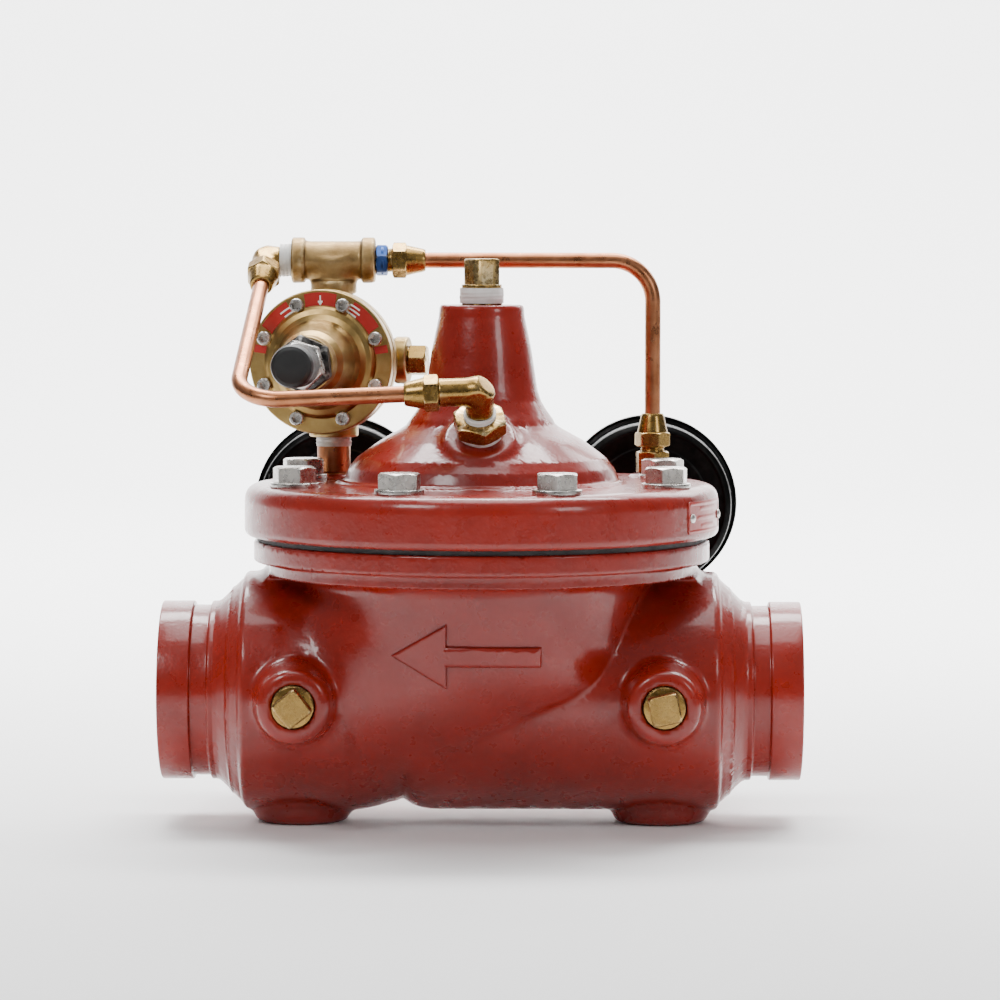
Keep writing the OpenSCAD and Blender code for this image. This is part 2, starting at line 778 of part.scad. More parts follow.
module tee_elbow() {
    run = pilot_x - tee_half - tee_elbow_pos[0];
    color("darkgoldenrod") at_stem() translate(tee_elbow_pos) difference() {
        union() {
            forged_elbow([run - 6.2, 0, 0], tee_elbow_dir * 10, 7);
            rod([run - 7, 0, 0], [run + 10, 0, 0], 6.8);
            rod(tee_elbow_dir * 9, tee_elbow_dir * 14, 6.2);
        }
        rod([-1, 0, 0], [run + 12, 0, 0], 3);
        rod([0, 0, 0], tee_elbow_dir * 16, 2.8);
    }
}

module restriction_fitting() {
    start = pilot_x + tee_half;
    color("royalblue") at_stem() translate([0, pilot_y, tee_z]) difference() {
        union() {
            rod([start - 9, 0, 0], [start + 1, 0, 0], 6.8);
            translate([start + 0.4, 0, 0]) rotate([0, 90, 0]) rotate([0, 0, 15])
                turned_hex(14.3, -start - fitting_end + 0.1 - 2.4);
            rod([-fitting_end - 3, 0, 0], [-fitting_end + 4.4, 0, 0], 6.2);
        }
        rod([start - 12, 0, 0], [-fitting_end + 8, 0, 0], 1.6);
    }
}

module supply_adapter() {
    color("darkgoldenrod") at_stem() translate([supply_x, pilot_y, 0]) difference() {
        union() {
            translate([0, 0, adapter_base - 10]) cylinder(r = npt_quarter - fit, h = 12);
            translate([0, 0, adapter_base]) rotate([0, 0, 8])
                turned_hex(nut_af, adapter_nut_z - adapter_base - 2.5);
            translate([0, 0, adapter_nut_z - 3]) cylinder(r = 6.2, h = 7);
        }
        translate([0, 0, 80]) cylinder(r = 3, h = 60);
    }
}

module supply_tube() {
    corner = [supply_x, pilot_y, tee_z];
    start = [-fitting_end + 5, pilot_y, tee_z];
    finish = [supply_x, pilot_y, adapter_nut_z + 4.6];
    color("peru") at_stem() hollow_path([start, corner, finish], tube_r, tube_wall);
}

module control_tube() {
    start = tee_elbow_pos + tee_elbow_dir * 14.6;
    finish = elbow_pos + unit(control_corner - elbow_pos) * (cover_leg + 4.2);
    color("peru") at_stem() hollow_path([start, control_corner, finish], tube_r, tube_wall);
}

module cover_bushing() {
    color("darkgoldenrod") at_port() difference() {
        union() {
            translate([0, 0, -18]) cylinder(r = npt_three_eighths - fit / 2, h = 16);
            translate([0, 0, -2.4]) rotate([0, 0, 12]) turned_hex(23.8, 8.2);
        }
        translate([0, 0, -20]) cylinder(r = 6.3, h = 40);
    }
}

module cover_elbow() {
    out = unit(control_corner - elbow_pos);
    color("darkgoldenrod") difference() {
        union() {
            at_port() translate([0, 0, -6]) cylinder(r = 6.2, h = 15);
            at_stem() translate(elbow_pos)
                forged_elbow(-13.5 * [0, -sin(port_lean), cos(port_lean)], out * cover_leg, 7);
            at_stem() translate(elbow_pos)
                rod(out * (cover_leg - 1), out * (cover_leg + 3.4), 6.2);
        }
        at_port() translate([0, 0, -8]) cylinder(r = 3, h = elbow_reach + 9);
        at_stem() translate(elbow_pos) rod([0, 0, 0], out * (cover_leg + 5), 2.8);
    }
}

// A flare nut: z = 0 is its open end, and the tube leaves along +z
module flare_nut() {
    difference() {
        union() {
            turned_hex(nut_af, 7.4);
            translate([0, 0, 6.5]) cylinder(r = 7.7, h = 1);
            translate([0, 0, 7.4]) cylinder(r1 = 7.7, r2 = 5.6, h = nut_reach - 7.4);
        }
        translate([0, 0, -1]) cylinder(r = 6.3, h = 6);
        translate([0, 0, -1]) cylinder(r = tube_r + 0.06, h = 30);
    }
}

module flare_nuts() {
    out = unit(control_corner - elbow_pos);
    color("darkgoldenrod") at_stem() {
        translate([-fitting_end, pilot_y, tee_z]) rotate([0, 90, 0]) flare_nut();
        translate([supply_x, pilot_y, adapter_nut_z]) flare_nut();
        multmatrix(frame_at(tee_elbow_pos + tee_elbow_dir * 10, tee_elbow_dir, [1, 0, 0]))
            flare_nut();
        multmatrix(frame_at(elbow_pos + out * cover_leg, out, [0, 1, 0])) flare_nut();
    }
}

// ---------- Gauges ----------

module at_gauge_port(station) {
    at_stem() translate([station[0], boss_face, 0]) rotate([-90, 0, 0])
        rotate([0, 0, station[1]]) children();
}

module gauge_bushings() {
    color("darkgoldenrod") for (station = GAUGES) at_gauge_port(station) difference() {
        union() {
            translate([0, 0, -16]) cylinder(r = npt_half - fit, h = 17);
            translate([0, 0, 0.4]) turned_hex(22, 7);
        }
        translate([0, 0, -20]) cylinder(r = npt_quarter, h = 40);
    }
}

module gauge_nipples() {
    color("darkgoldenrod") for (station = GAUGES) at_gauge_port(station)
        translate([0, 0, -4]) ring(npt_quarter - fit / 2, 4.6, gauge_y + gauge_mid - boss_face - 3);
}

module gauge_elbows() {
    centre = gauge_y + gauge_mid - boss_face;
    color("darkgoldenrod") for (station = GAUGES) at_gauge_port(station)
        translate([0, 0, centre]) difference() {
            union() {
                translate([0, 0, -17]) cylinder(r = 8.6, h = 17);
                translate([0, 0, -17]) cylinder(r = 9.8, h = 5);
                sphere(r = 8.7);
                rotate([90, 0, 0]) cylinder(r = 8.6, h = 17);
                rotate([90, 0, 0]) translate([0, 0, 12]) cylinder(r = 9.8, h = 5);
            }
            translate([0, 0, -20]) cylinder(r = npt_quarter, h = 13);
            translate([0, 0, -8]) cylinder(r = 4.6, h = 8);
            rotate([90, 0, 0]) translate([0, 0, 7]) cylinder(r = npt_quarter, h = 20);
            rotate([90, 0, 0]) cylinder(r = 4.6, h = 10);
        }
}

// The threaded socket of each gauge, with the coiled pressure tube and movement brazed to it
module gauge_sockets() {
    color("goldenrod") for (station = GAUGES) at_gauge(station) {
        difference() {
            union() {
                translate([-7, 20, gauge_mid - 7]) cube([14, 46, 14]);
                translate([0, 65, gauge_mid]) rotate([-90, 0, 0])
                    cylinder(r = npt_quarter - fit, h = 10);
            }
            translate([0, 25, gauge_mid]) rotate([-90, 0, 0]) cylinder(r = 2, h = 60);
        }
        translate([0, 0, gauge_mid - 4]) rotate([0, 0, 100]) rotate_extrude(angle = 250)
            translate([26, 0]) square([2.4, 8]);
        translate([-10, -6, gauge_mid - 6]) cube([20, 27, 4]);
        translate([0, 0, gauge_mid - 3]) cylinder(r = 1.4, h = 12.4);
    }
}

module gauge_case(station) {
    r = gauge_case_r;
    color([0.06, 0.06, 0.06]) at_gauge(station) difference() {
        rotate_extrude() polygon([
            [0, 0], [r - 3, 0], [r - 1, 1], [r, 3], [r, 24.5], [r + 2.5, 25], [r + 2.5, 27],
            [r - 1.6, 27], [r - 1.6, 1.8], [0, 1.8]
        ]);
        translate([-7.1, 30, gauge_mid - 7.1]) cube([14.2, 40, 14.2]);
    }
}

module gauge_dial(station) {
    color("white") at_gauge(station) translate([0, 0, 21]) ring(gauge_case_r - 2, 2, 0.8);
}

// The pointer at rest lies on the zero mark, low on the left of the dial
module gauge_pointer(station) {
    color("black") at_gauge(station) translate([0, 0, 22.6]) rotate([0, 0, -45]) {
        difference() {
            cylinder(r = 3.6, h = 1.6);
            translate([0, 0, -1]) cylinder(r = 1.45, h = 2.2);
        }
        linear_extrude(0.8) polygon([[-1.4, 3], [1.4, 3], [0.5, 32], [-0.5, 32]]);
        linear_extrude(0.8) polygon([[-1.2, -3], [1.2, -3], [2.2, -11], [-2.2, -11]]);
    }
}

module gauge_bezels() {
    r = gauge_case_r;
    color([0.06, 0.06, 0.06]) for (station = GAUGES) at_gauge(station) rotate_extrude() polygon([
        [r + 2.6, 23.6], [r + 3.4, 23.6], [r + 3.4, 30], [r + 2, 31.5], [r - 3.5, 30.6],
        [r - 3.5, 29.1], [r + 2.6, 29.1]
    ]);
}

module gauge_lenses() {
    color([0.9, 0.95, 1, 0.4]) for (station = GAUGES) at_gauge(station)
        translate([0, 0, 27.05]) cylinder(r = gauge_case_r + 2.4, h = 2);
}

module inlet_gauge_case() {
    gauge_case(GAUGES[0]);
}

module inlet_gauge_dial() {
    gauge_dial(GAUGES[0]);
}

module inlet_gauge_pointer() {
    gauge_pointer(GAUGES[0]);
}

module outlet_gauge_case() {
    gauge_case(GAUGES[1]);
}

module outlet_gauge_dial() {
    gauge_dial(GAUGES[1]);
}

module outlet_gauge_pointer() {
    gauge_pointer(GAUGES[1]);
}

valve_body();
seat_ring();
seat_o_ring();
lower_bearing();
stem();
disc_guide();
seat_disc();
disc_retainer();
diaphragm();
diaphragm_washer();
stem_nut();
main_spring();
cover_bearing();
cover();
cover_bolts();
cover_washers();
side_plugs();
top_plug();
thread_tape();
nameplate();
nameplate_rivets();
pilot_body();
pilot_seat();
pilot_poppet();
pilot_diaphragm();
pilot_diaphragm_plate();
pilot_spring();
pilot_spring_button();
pilot_bonnet();
pilot_screws();
pilot_jam_nut();
pilot_adjusting_screw();
pilot_screw_cap();
pilot_label();
pilot_side_plug();
pilot_outlet_nipple();
tee_nipple();
tee();
tee_elbow();
restriction_fitting();
supply_tube();
supply_adapter();
control_tube();
cover_bushing();
cover_elbow();
flare_nuts();
gauge_bushings();
gauge_nipples();
gauge_elbows();
gauge_sockets();
gauge_bezels();
gauge_lenses();
inlet_gauge_case();
inlet_gauge_dial();
inlet_gauge_pointer();
outlet_gauge_case();
outlet_gauge_dial();
outlet_gauge_pointer();
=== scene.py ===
"""The looks of the pressure reducing valve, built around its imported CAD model.

Lengths in the shape code are millimetres, measured from the foot of the stem's axis. piece() turns
them into metres in the row frame. Cast pieces are distance fields; the others are turned or swept.
"""
import json
import math

import bmesh
import bpy
import numpy as np
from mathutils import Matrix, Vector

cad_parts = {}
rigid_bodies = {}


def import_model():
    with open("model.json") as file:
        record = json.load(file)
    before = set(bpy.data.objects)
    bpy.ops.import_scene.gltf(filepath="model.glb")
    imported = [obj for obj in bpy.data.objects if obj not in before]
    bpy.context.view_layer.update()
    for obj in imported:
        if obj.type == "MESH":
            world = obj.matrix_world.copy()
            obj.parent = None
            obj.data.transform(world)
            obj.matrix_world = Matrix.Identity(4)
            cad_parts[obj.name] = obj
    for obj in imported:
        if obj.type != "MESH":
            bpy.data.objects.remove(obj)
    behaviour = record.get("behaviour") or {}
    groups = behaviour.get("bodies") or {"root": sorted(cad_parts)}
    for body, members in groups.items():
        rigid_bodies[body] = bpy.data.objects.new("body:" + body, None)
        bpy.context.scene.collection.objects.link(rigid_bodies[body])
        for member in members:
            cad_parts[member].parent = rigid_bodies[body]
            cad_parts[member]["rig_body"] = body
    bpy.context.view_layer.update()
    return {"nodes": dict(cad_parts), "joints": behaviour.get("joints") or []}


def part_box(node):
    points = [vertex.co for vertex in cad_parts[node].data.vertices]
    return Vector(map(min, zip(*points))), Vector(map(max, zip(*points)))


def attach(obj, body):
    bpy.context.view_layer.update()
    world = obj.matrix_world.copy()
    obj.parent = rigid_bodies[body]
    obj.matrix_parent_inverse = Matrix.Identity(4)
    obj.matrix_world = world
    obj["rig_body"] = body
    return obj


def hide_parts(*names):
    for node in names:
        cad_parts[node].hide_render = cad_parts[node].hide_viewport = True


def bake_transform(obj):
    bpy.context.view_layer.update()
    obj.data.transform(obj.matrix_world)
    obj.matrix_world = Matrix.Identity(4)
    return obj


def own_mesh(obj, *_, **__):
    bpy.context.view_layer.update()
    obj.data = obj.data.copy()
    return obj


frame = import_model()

import openvdb
from mathutils import Matrix, Vector

MM = 0.001
SEED = 7
SHARP = 35


# ---------- Places read from the frame ----------

def middle(node):
    """The middle of a CAD node's box, in millimetres from the stem."""
    low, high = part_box(node)
    return (np.array(low + high) / 2 - STEM) / MM


def extent(node, axis):
    """A CAD node's lowest and highest coordinate on one axis, in millimetres from the stem."""
    low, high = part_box(node)
    return (low[axis] - STEM[axis]) / MM, (high[axis] - STEM[axis]) / MM


def joint_axis(name):
    return np.array(next(j["axis"] for j in frame["joints"] if j["name"] == name), float)


def travel(name):
    """A sliding joint's longest move from rest, in metres."""
    return max(abs(v) for v in next(j["range_m"] for j in frame["joints"] if j["name"] == name))


stem_low, stem_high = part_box("stem")
STEM = np.array([(stem_low.x + stem_high.x) / 2, 0.0, 0.0])

END_X = extent("valve_body", 0)[1]
FOOT_Z = extent("valve_body", 2)[0]
BODY_TOP = extent("valve_body", 2)[1]
COVER_BASE, COVER_TOP = extent("cover", 2)
COVER_R = extent("cover", 0)[1]
FLANGE_TOP = extent("cover_washers", 2)[0] + 0.3
WASHER_TOP = extent("cover_washers", 2)[1]
HEAD_TOP = extent("cover_bolts", 2)[1]
PLUG_FACE = 80.0
PORT_X = 89.5
PILOT = np.array([*middle("pilot_outlet_nipple")[:2], middle("pilot_jam_nut")[2]])
PILOT_AXIS = joint_axis("pilot_screw_turn")
TEE = np.array([PILOT[0], PILOT[1], middle("restriction_fitting")[2]])
SUPPLY = middle("supply_adapter")
COVER_PORT = np.array([0.0, -50.0, 134.5])
PORT_LEAN = math.radians(38)
TUBE_R = 4.0
NUT_FLATS = 15.9
BOLT_CIRCLE = 98.4


def axes_at(origin, along, near=(1, 0, 0)):
    """A 4x4 frame with its z along one direction and its x as near as it can be to another."""
    z = np.array(along, float) / np.linalg.norm(along)
    y = np.cross(z, np.array(near, float))
    if np.linalg.norm(y) < 1e-6:
        y = np.cross(z, (0, 1, 0))
    y /= np.linalg.norm(y)
    placed = np.eye(4)
    placed[:3, 0], placed[:3, 1], placed[:3, 2], placed[:3, 3] = np.cross(y, z), y, z, origin
    return placed


def turned(angle):
    """A turn about z, in degrees."""
    c, s = math.cos(math.radians(angle)), math.sin(math.radians(angle))
    return np.array([[c, -s, 0, 0], [s, c, 0, 0], [0, 0, 1, 0], [0, 0, 0, 1]])


def shifted(x, y, z):
    moved = np.eye(4)
    moved[:3, 3] = x, y, z
    return moved


AT_STEM = np.eye(4)
AT_PILOT = axes_at(PILOT, PILOT_AXIS, np.cross((0, 0, 1), PILOT_AXIS))
PORT_DIRECTION = np.array([0, -math.sin(PORT_LEAN), math.cos(PORT_LEAN)])
AT_PORT = axes_at(COVER_PORT, PORT_DIRECTION)


# ---------- Shapes ----------

class Shape:
    """Points and faces in millimetres."""

    def __init__(self, points=(), faces=(), normals=None):
        self.points = np.array(points, float).reshape(-1, 3)
        self.faces = [tuple(int(i) for i in face) for face in faces]
        self.normals = normals

    def placed(self, matrix):
        points = self.points @ matrix[:3, :3].T + matrix[:3, 3]
        return Shape(points, self.faces)

    def __add__(self, other):
        start = len(self.points)
        faces = self.faces + [tuple(i + start for i in face) for face in other.faces]
        return Shape(np.vstack([self.points, other.points]), faces)


def together(shapes):
    shapes = list(shapes)
    whole = shapes[0]
    for shape in shapes[1:]:
        whole = whole + shape
    return whole


def eased(outline, radius, steps=4):
    """The outline with each inner corner rounded."""
    points = [np.array(p, float) for p in outline]
    soft = [points[0]]
    for before, corner, after in zip(points, points[1:], points[2:]):
        a, b = before - corner, after - corner
        reach = min(np.linalg.norm(a), np.linalg.norm(b)) * 0.45
        turn = math.acos(np.clip(a @ b / np.linalg.norm(a) / np.linalg.norm(b), -1, 1))
        if turn > math.radians(174):
            soft.append(corner)
            continue
        cut = min(reach, radius / math.tan(turn / 2))
        start, end = corner + a / np.linalg.norm(a) * cut, corner + b / np.linalg.norm(b) * cut
        for t in np.linspace(0, 1, steps + 1):
            soft.append((1 - t) ** 2 * start + 2 * t * (1 - t) * corner + t * t * end)
    soft.append(points[-1])
    return soft


def quads(rows, columns, wrap_rows=False):
    """Faces over rows of points, each row a ring."""
    faces = []
    for i in range(rows if wrap_rows else rows - 1):
        j = (i + 1) % rows
        for k in range(columns):
            m = (k + 1) % columns
            faces.append((i * columns + k, i * columns + m, j * columns + m, j * columns + k))
    return faces


def caps(rows, columns):
    """The two end faces of a stack of rings."""
    return [tuple(range(columns)), tuple(reversed(range((rows - 1) * columns, rows * columns)))]


def turned_shape(outline, closed=False, segments=96, wave=None):
    """An outline of (radius, height) turned about z. wave(angle, height) moves the radius."""
    outline = np.array(outline, float)
    angles = np.linspace(0, 2 * math.pi, segments, endpoint=False)
    points, rows = [], []
    for r, z in outline:
        if r < 1e-6:
            rows.append([len(points)] * segments)
            points.append((0, 0, z))
            continue
        start = len(points)
        for a in angles:
            out = r + (wave(a, z, r) if wave else 0)
            points.append((out * math.cos(a), out * math.sin(a), z))
        rows.append(list(range(start, start + segments)))
    if closed:
        rows.append(rows[0])
    faces = []
    for low, high in zip(rows, rows[1:]):
        for k in range(segments):
            m = (k + 1) % segments
            face = [low[k], low[m], high[m], high[k]]
            faces.append(tuple(dict.fromkeys(face)))
    return Shape(points, [f for f in faces if len(f) > 2])


def eased_loop(corners, radius, steps=4):
    """A closed outline with every corner rounded."""
    return eased([corners[-1], *corners, corners[0]], radius, steps)[1:-1]


def ring_outline(outer, inner, low, high, ease=0.4):
    """A closed square-section ring with rounded corners, as an outline for turned_shape."""
    corners = [(outer, low), (outer, high), (inner, high), (inner, low)]
    return eased_loop(corners, ease, 3)


def hexagon(flats, height, bore=0.0, top=True, bottom=True, lean=0.52, per_side=12):
    """A hexagon bar with its corners turned down at the ends, and an optional bore."""
    half = flats / 2
    start = half * 0.965
    angles, radii = [], []
    for side in range(6):
        for k in range(per_side):
            a = -30 + 60 * k / per_side
            angles.append(math.radians(side * 60 + a))
            radii.append(min(half / math.cos(math.radians(a)), half * 1.14))
    n = len(angles)
    rows = []

    def row(radius_of, height_of):
        rows.append([(radius_of(r) * math.cos(a), radius_of(r) * math.sin(a), height_of(r))
                     for a, r in zip(angles, radii)])

    def slope(r):
        return max(0.0, r - start) * lean

    if bore:
        row(lambda r: bore, lambda r: height)
        row(lambda r: bore, lambda r: 0)
    else:
        row(lambda r: 0.02, lambda r: 0)
    if bottom:
        row(lambda r: start, lambda r: 0)
    row(lambda r: r - 0.12, lambda r: slope(r) if bottom else 0.0)
    row(lambda r: r, lambda r: (slope(r) if bottom else 0.0) + 0.15)
    row(lambda r: r, lambda r: height - (slope(r) if top else 0.0) - 0.15)
    row(lambda r: r - 0.12, lambda r: height - (slope(r) if top else 0.0))
    if top:
        row(lambda r: start, lambda r: height)
    if not bore:
        row(lambda r: 0.02, lambda r: height)
    faces = quads(len(rows), n, wrap_rows=bool(bore))
    if not bore:
        faces += caps(len(rows), n)
    return Shape([p for line in rows for p in line], faces)


def thread(radius, low, high, pitch=1.4, depth=0.5, segments=48, taper=0.0):
    """A rod with a screw thread cut on it."""
    steps = max(4, int((high - low) / pitch * 6))
    outline = [(0, low)] + [(radius, low + (high - low) * i / steps) for i in range(steps + 1)]
    outline.append((0, high))

    def cut(a, z, r):
        phase = (z / pitch - a / (2 * math.pi)) % 1
        return -depth * abs(2 * phase - 1) - taper * (z - low)

    return turned_shape(outline, segments=segments, wave=cut)


def swept(points, radius, sides=20, bore=0.0, wobble=0.0):
    """A round bar or tube along a line of points."""
    points = np.array(points, float)
    along = np.gradient(points, axis=0)
    along /= np.linalg.norm(along, axis=1)[:, None]
    side = np.cross(along[0], (0, 0, 1) if abs(along[0][2]) < 0.9 else (1, 0, 0))
    rng = np.random.default_rng(SEED)
    drift = np.interp(np.arange(len(points)), np.linspace(0, len(points), 9), rng.normal(0, 1, 9))
    rings, inner = [], []
    for i, (p, t) in enumerate(zip(points, along)):
        side = side - (side @ t) * t
        side /= np.linalg.norm(side)
        other = np.cross(t, side)
        r = radius * (1 + wobble * drift[i])
        for store, size in ((rings, r), (inner, bore)):
            store.append([p + size * (math.cos(a) * side + math.sin(a) * other)
                          for a in np.linspace(0, 2 * math.pi, sides, endpoint=False)])
    rows = rings + inner[::-1] if bore else rings
    faces = quads(len(rows), sides, wrap_rows=bool(bore))
    if not bore:
        faces += caps(len(rows), sides)
    return Shape([q for row in rows for q in row], faces)


def bent_line(corners, bend, step=1.5):
    """Points along straight legs with a round bend at each inner corner."""
    corners = [np.array(c, float) for c in corners]
    line = [corners[0]]
    for before, corner, after in zip(corners, corners[1:], corners[2:]):
        u = (corner - before) / np.linalg.norm(corner - before)
        v = (after - corner) / np.linalg.norm(after - corner)
        turn = math.acos(np.clip(u @ v, -1, 1))
        cut = bend * math.tan(turn / 2)
        inward = v - (u @ v) * u
        inward /= np.linalg.norm(inward)
        centre = corner - u * cut + inward * bend
        for a in np.linspace(0, turn, 14):
            line.append(centre + bend * (-inward * math.cos(a) + u * math.sin(a)))
    line.append(corners[-1])
    dense = [line[0]]
    for a, b in zip(line, line[1:]):
        pieces = max(1, int(np.linalg.norm(b - a) / (step * 4)))
        dense += [a + (b - a) * i / pieces for i in range(1, pieces + 1)]
    return dense


# ---------- Solids given by a distance field ----------

def smooth_min(a, b, k):
    h = np.clip(0.5 + 0.5 * (b - a) / k, 0, 1)
    return b + (a - b) * h - k * h * (1 - h)


def smooth_max(a, b, k):
    return -smooth_min(-a, -b, k)


def length2(a, b):
    return np.sqrt(a * a + b * b)


def from_eight(x, y, circle):
    """Distance across from the nearest of eight places on a circle, the first at 22.5 degrees."""
    r = length2(x, y)
    near = np.mod(np.arctan2(y, x), math.pi / 4) - math.pi / 8
    return length2(r * np.cos(near) - circle, r * np.sin(near))


def eight_places(circle):
    for k in range(8):
        a = math.radians(22.5 + 45 * k)
        yield k, shifted(circle * math.cos(a), circle * math.sin(a), 0)


def union(*fields):
    """The plain union of fields, which also joins what is to be cut away."""
    whole = fields[0]
    for field in fields[1:]:
        whole = np.minimum(whole, field)
    return whole


def meet(*fields):
    """What all the fields share."""
    whole = fields[0]
    for field in fields[1:]:
        whole = np.maximum(whole, field)
    return whole


def segment_field(u, v, outline):
    """Signed distance to a closed outline in a plane, negative inside."""
    points = np.array(outline, float)
    best = None
    inside = None
    for (x0, y0), (x1, y1) in zip(points, np.roll(points, -1, axis=0)):
        ex, ey = x1 - x0, y1 - y0
        wx, wy = u - x0, v - y0
        t = np.clip((wx * ex + wy * ey) / (ex * ex + ey * ey), 0, 1)
        d = (wx - ex * t) ** 2 + (wy - ey * t) ** 2
        best = d if best is None else np.minimum(best, d)
        crosses = ((y0 > v) != (y1 > v)) & (wx < ex * wy / (ey if ey else 1e-9))
        inside = crosses if inside is None else inside ^ crosses
    return np.where(inside, -1, 1) * np.sqrt(best)


def fine_or_quick(fine):
    return fine


def field_solid(field, low, high, voxel, adaptivity=0.0):
    """The surface of a distance field, with true normals. field(x, y, z) is in millimetres."""
    low, high = np.array(low, float), np.array(high, float)
    counts = np.ceil((high - low) / voxel).astype(int) + 1
    x, y, z = (low[i] + voxel * np.arange(counts[i], dtype=np.float32) for i in range(3))
    values = field(x[:, None, None], y[None, :, None], z[None, None, :]).astype(np.float32)
    limit = 4 * voxel
    grid = openvdb.FloatGrid(background=limit)
    grid.copyFromArray(np.clip(values, -limit, limit))
    points, triangles, quads = grid.convertToPolygons(isovalue=0, adaptivity=adaptivity)
    points = low + points.astype(float) * voxel
    for _ in range(2):
        distance, slope = field_slope(field, points)
        step = distance / np.maximum((slope ** 2).sum(1), 0.25)
        points -= np.clip(step, -voxel, voxel)[:, None] * slope
    slope = field_slope(field, points)[1]
    normals = slope / np.maximum(np.linalg.norm(slope, axis=1), 1e-9)[:, None]
    faces = quads.tolist() + triangles.tolist()
    return Shape(points, faces, normals)


def field_slope(field, points, reach=0.25):
    x, y, z = points.T
    here = field(x, y, z)
    slope = np.stack([
        field(x + reach, y, z) - field(x - reach, y, z),
        field(x, y + reach, z) - field(x, y - reach, z),
        field(x, y, z + reach) - field(x, y, z - reach),
    ], 1) / (2 * reach)
    return here, slope


# ---------- Finishes ----------

class Finish:
    """A material built from nodes. Patterns use object coordinates, in metres."""

    def __init__(self, name):
        self.material = bpy.data.materials.new(name)
        self.material.use_nodes = True
        self.nodes = self.material.node_tree.nodes
        self.links = self.material.node_tree.links
        self.shader = self.nodes["Principled BSDF"]
        self.place = self.nodes.new("ShaderNodeTexCoord").outputs["Object"]

    def set(self, **values):
        for socket, value in values.items():
            self.shader.inputs[socket.replace("_", " ")].default_value = value
        return self

    def noise(self, size, detail=3.0, roughness=0.55, stretch=None):
        """Noise whose features are about size millimetres across."""
        node = self.nodes.new("ShaderNodeTexNoise")
        node.inputs["Scale"].default_value = 1 / (size * MM)
        node.inputs["Detail"].default_value = detail
        node.inputs["Roughness"].default_value = roughness
        source = self.place
        if stretch:
            mapping = self.nodes.new("ShaderNodeMapping")
            mapping.inputs["Scale"].default_value = stretch
            self.links.new(source, mapping.inputs["Vector"])
            source = mapping.outputs["Vector"]
        self.links.new(source, node.inputs["Vector"])
        return node.outputs["Fac"]

    def cells(self, size):
        node = self.nodes.new("ShaderNodeTexVoronoi")
        node.inputs["Scale"].default_value = 1 / (size * MM)
        self.links.new(self.place, node.inputs["Vector"])
        return node.outputs["Distance"]

    def between(self, source, low, high, to_low=0.0, to_high=1.0):
        node = self.nodes.new("ShaderNodeMapRange")
        for socket, value in zip(("From Min", "From Max", "To Min", "To Max"),
                                 (low, high, to_low, to_high)):
            node.inputs[socket].default_value = value
        self.links.new(source, node.inputs["Value"])
        return node.outputs["Result"]

    def edges(self, low, high):
        """1 on worn edges, 0 elsewhere."""
        node = self.nodes.new("ShaderNodeNewGeometry")
        return self.between(node.outputs["Pointiness"], low, high)

    def times(self, a, b):
        node = self.nodes.new("ShaderNodeMath")
        node.operation = "MULTIPLY"
        self.links.new(a, node.inputs[0])
        self.links.new(b, node.inputs[1])
        return node.outputs[0]

    def mix(self, factor, a, b):
        node = self.nodes.new("ShaderNodeMix")
        node.data_type = "RGBA"
        self.links.new(factor, node.inputs[0])
        for socket, value in ((node.inputs[6], a), (node.inputs[7], b)):
            if isinstance(value, tuple):
                socket.default_value = (*value, 1)
            else:
                self.links.new(value, socket)
        return node.outputs[2]

    def colour(self, output):
        self.links.new(output, self.shader.inputs["Base Color"])
        return self

    def rough(self, output):
        self.links.new(output, self.shader.inputs["Roughness"])
        return self

    def bumps(self, *layers):
        """Layers of (height, depth in millimetres), one over the other."""
        last = None
        for source, depth in layers:
            node = self.nodes.new("ShaderNodeBump")
            node.inputs["Strength"].default_value = 1.0
            node.inputs["Distance"].default_value = depth * MM
            self.links.new(source, node.inputs["Height"])
            if last:
                self.links.new(last, node.inputs["Normal"])
            last = node.outputs["Normal"]
        self.links.new(last, self.shader.inputs["Normal"])
        return self


def paint(name, base, shade, rough):
    """Thick gloss enamel over a sand casting."""
    f = Finish(name)
    clouds = f.between(f.noise(38, 4), 0.35, 0.7)
    f.colour(f.mix(clouds, base, shade))
    f.rough(f.between(f.noise(9, 3), 0.3, 0.7, rough, rough + 0.12))
    f.set(Coat_Weight=0.4, Coat_Roughness=0.1, Specular_IOR_Level=0.35)
    return f.bumps((f.noise(13, 2), 0.24), (f.noise(2.4, 1), 0.12), (f.cells(1.6), 0.04)).material


def metal(name, bright, dull, rough, grain=0.7, depth=0.02, patches=9, wear=None, stretch=None):
    """Bare metal: cloudy tarnish, fine grain, and brighter rubbed edges."""
    f = Finish(name)
    tarnish = f.between(f.noise(patches, 5, 0.6), 0.34, 0.68)
    tone = f.mix(tarnish, bright, dull)
    if wear:
        tone = f.mix(f.times(f.edges(0.52, 0.6), f.between(f.noise(3), 0.3, 0.6)), tone, wear)
    f.colour(tone)
    f.rough(f.between(f.noise(patches / 3, 4), 0.3, 0.7, rough[0], rough[1]))
    f.set(Metallic=1.0)
    coarse = f.noise(grain * 5, 3, 0.6, stretch)
    return f.bumps((coarse, depth * 2), (f.noise(grain, 3, 0.7), depth)).material


def plastic(name, base, shade, rough, coat=0.0, grain=0.5, depth=0.015):
    f = Finish(name)
    f.colour(f.mix(f.between(f.noise(12, 4), 0.35, 0.65), base, shade))
    f.rough(f.between(f.noise(5, 3), 0.3, 0.7, rough[0], rough[1]))
    f.set(Coat_Weight=coat, Coat_Roughness=0.1)
    return f.bumps((f.noise(grain, 3), depth)).material


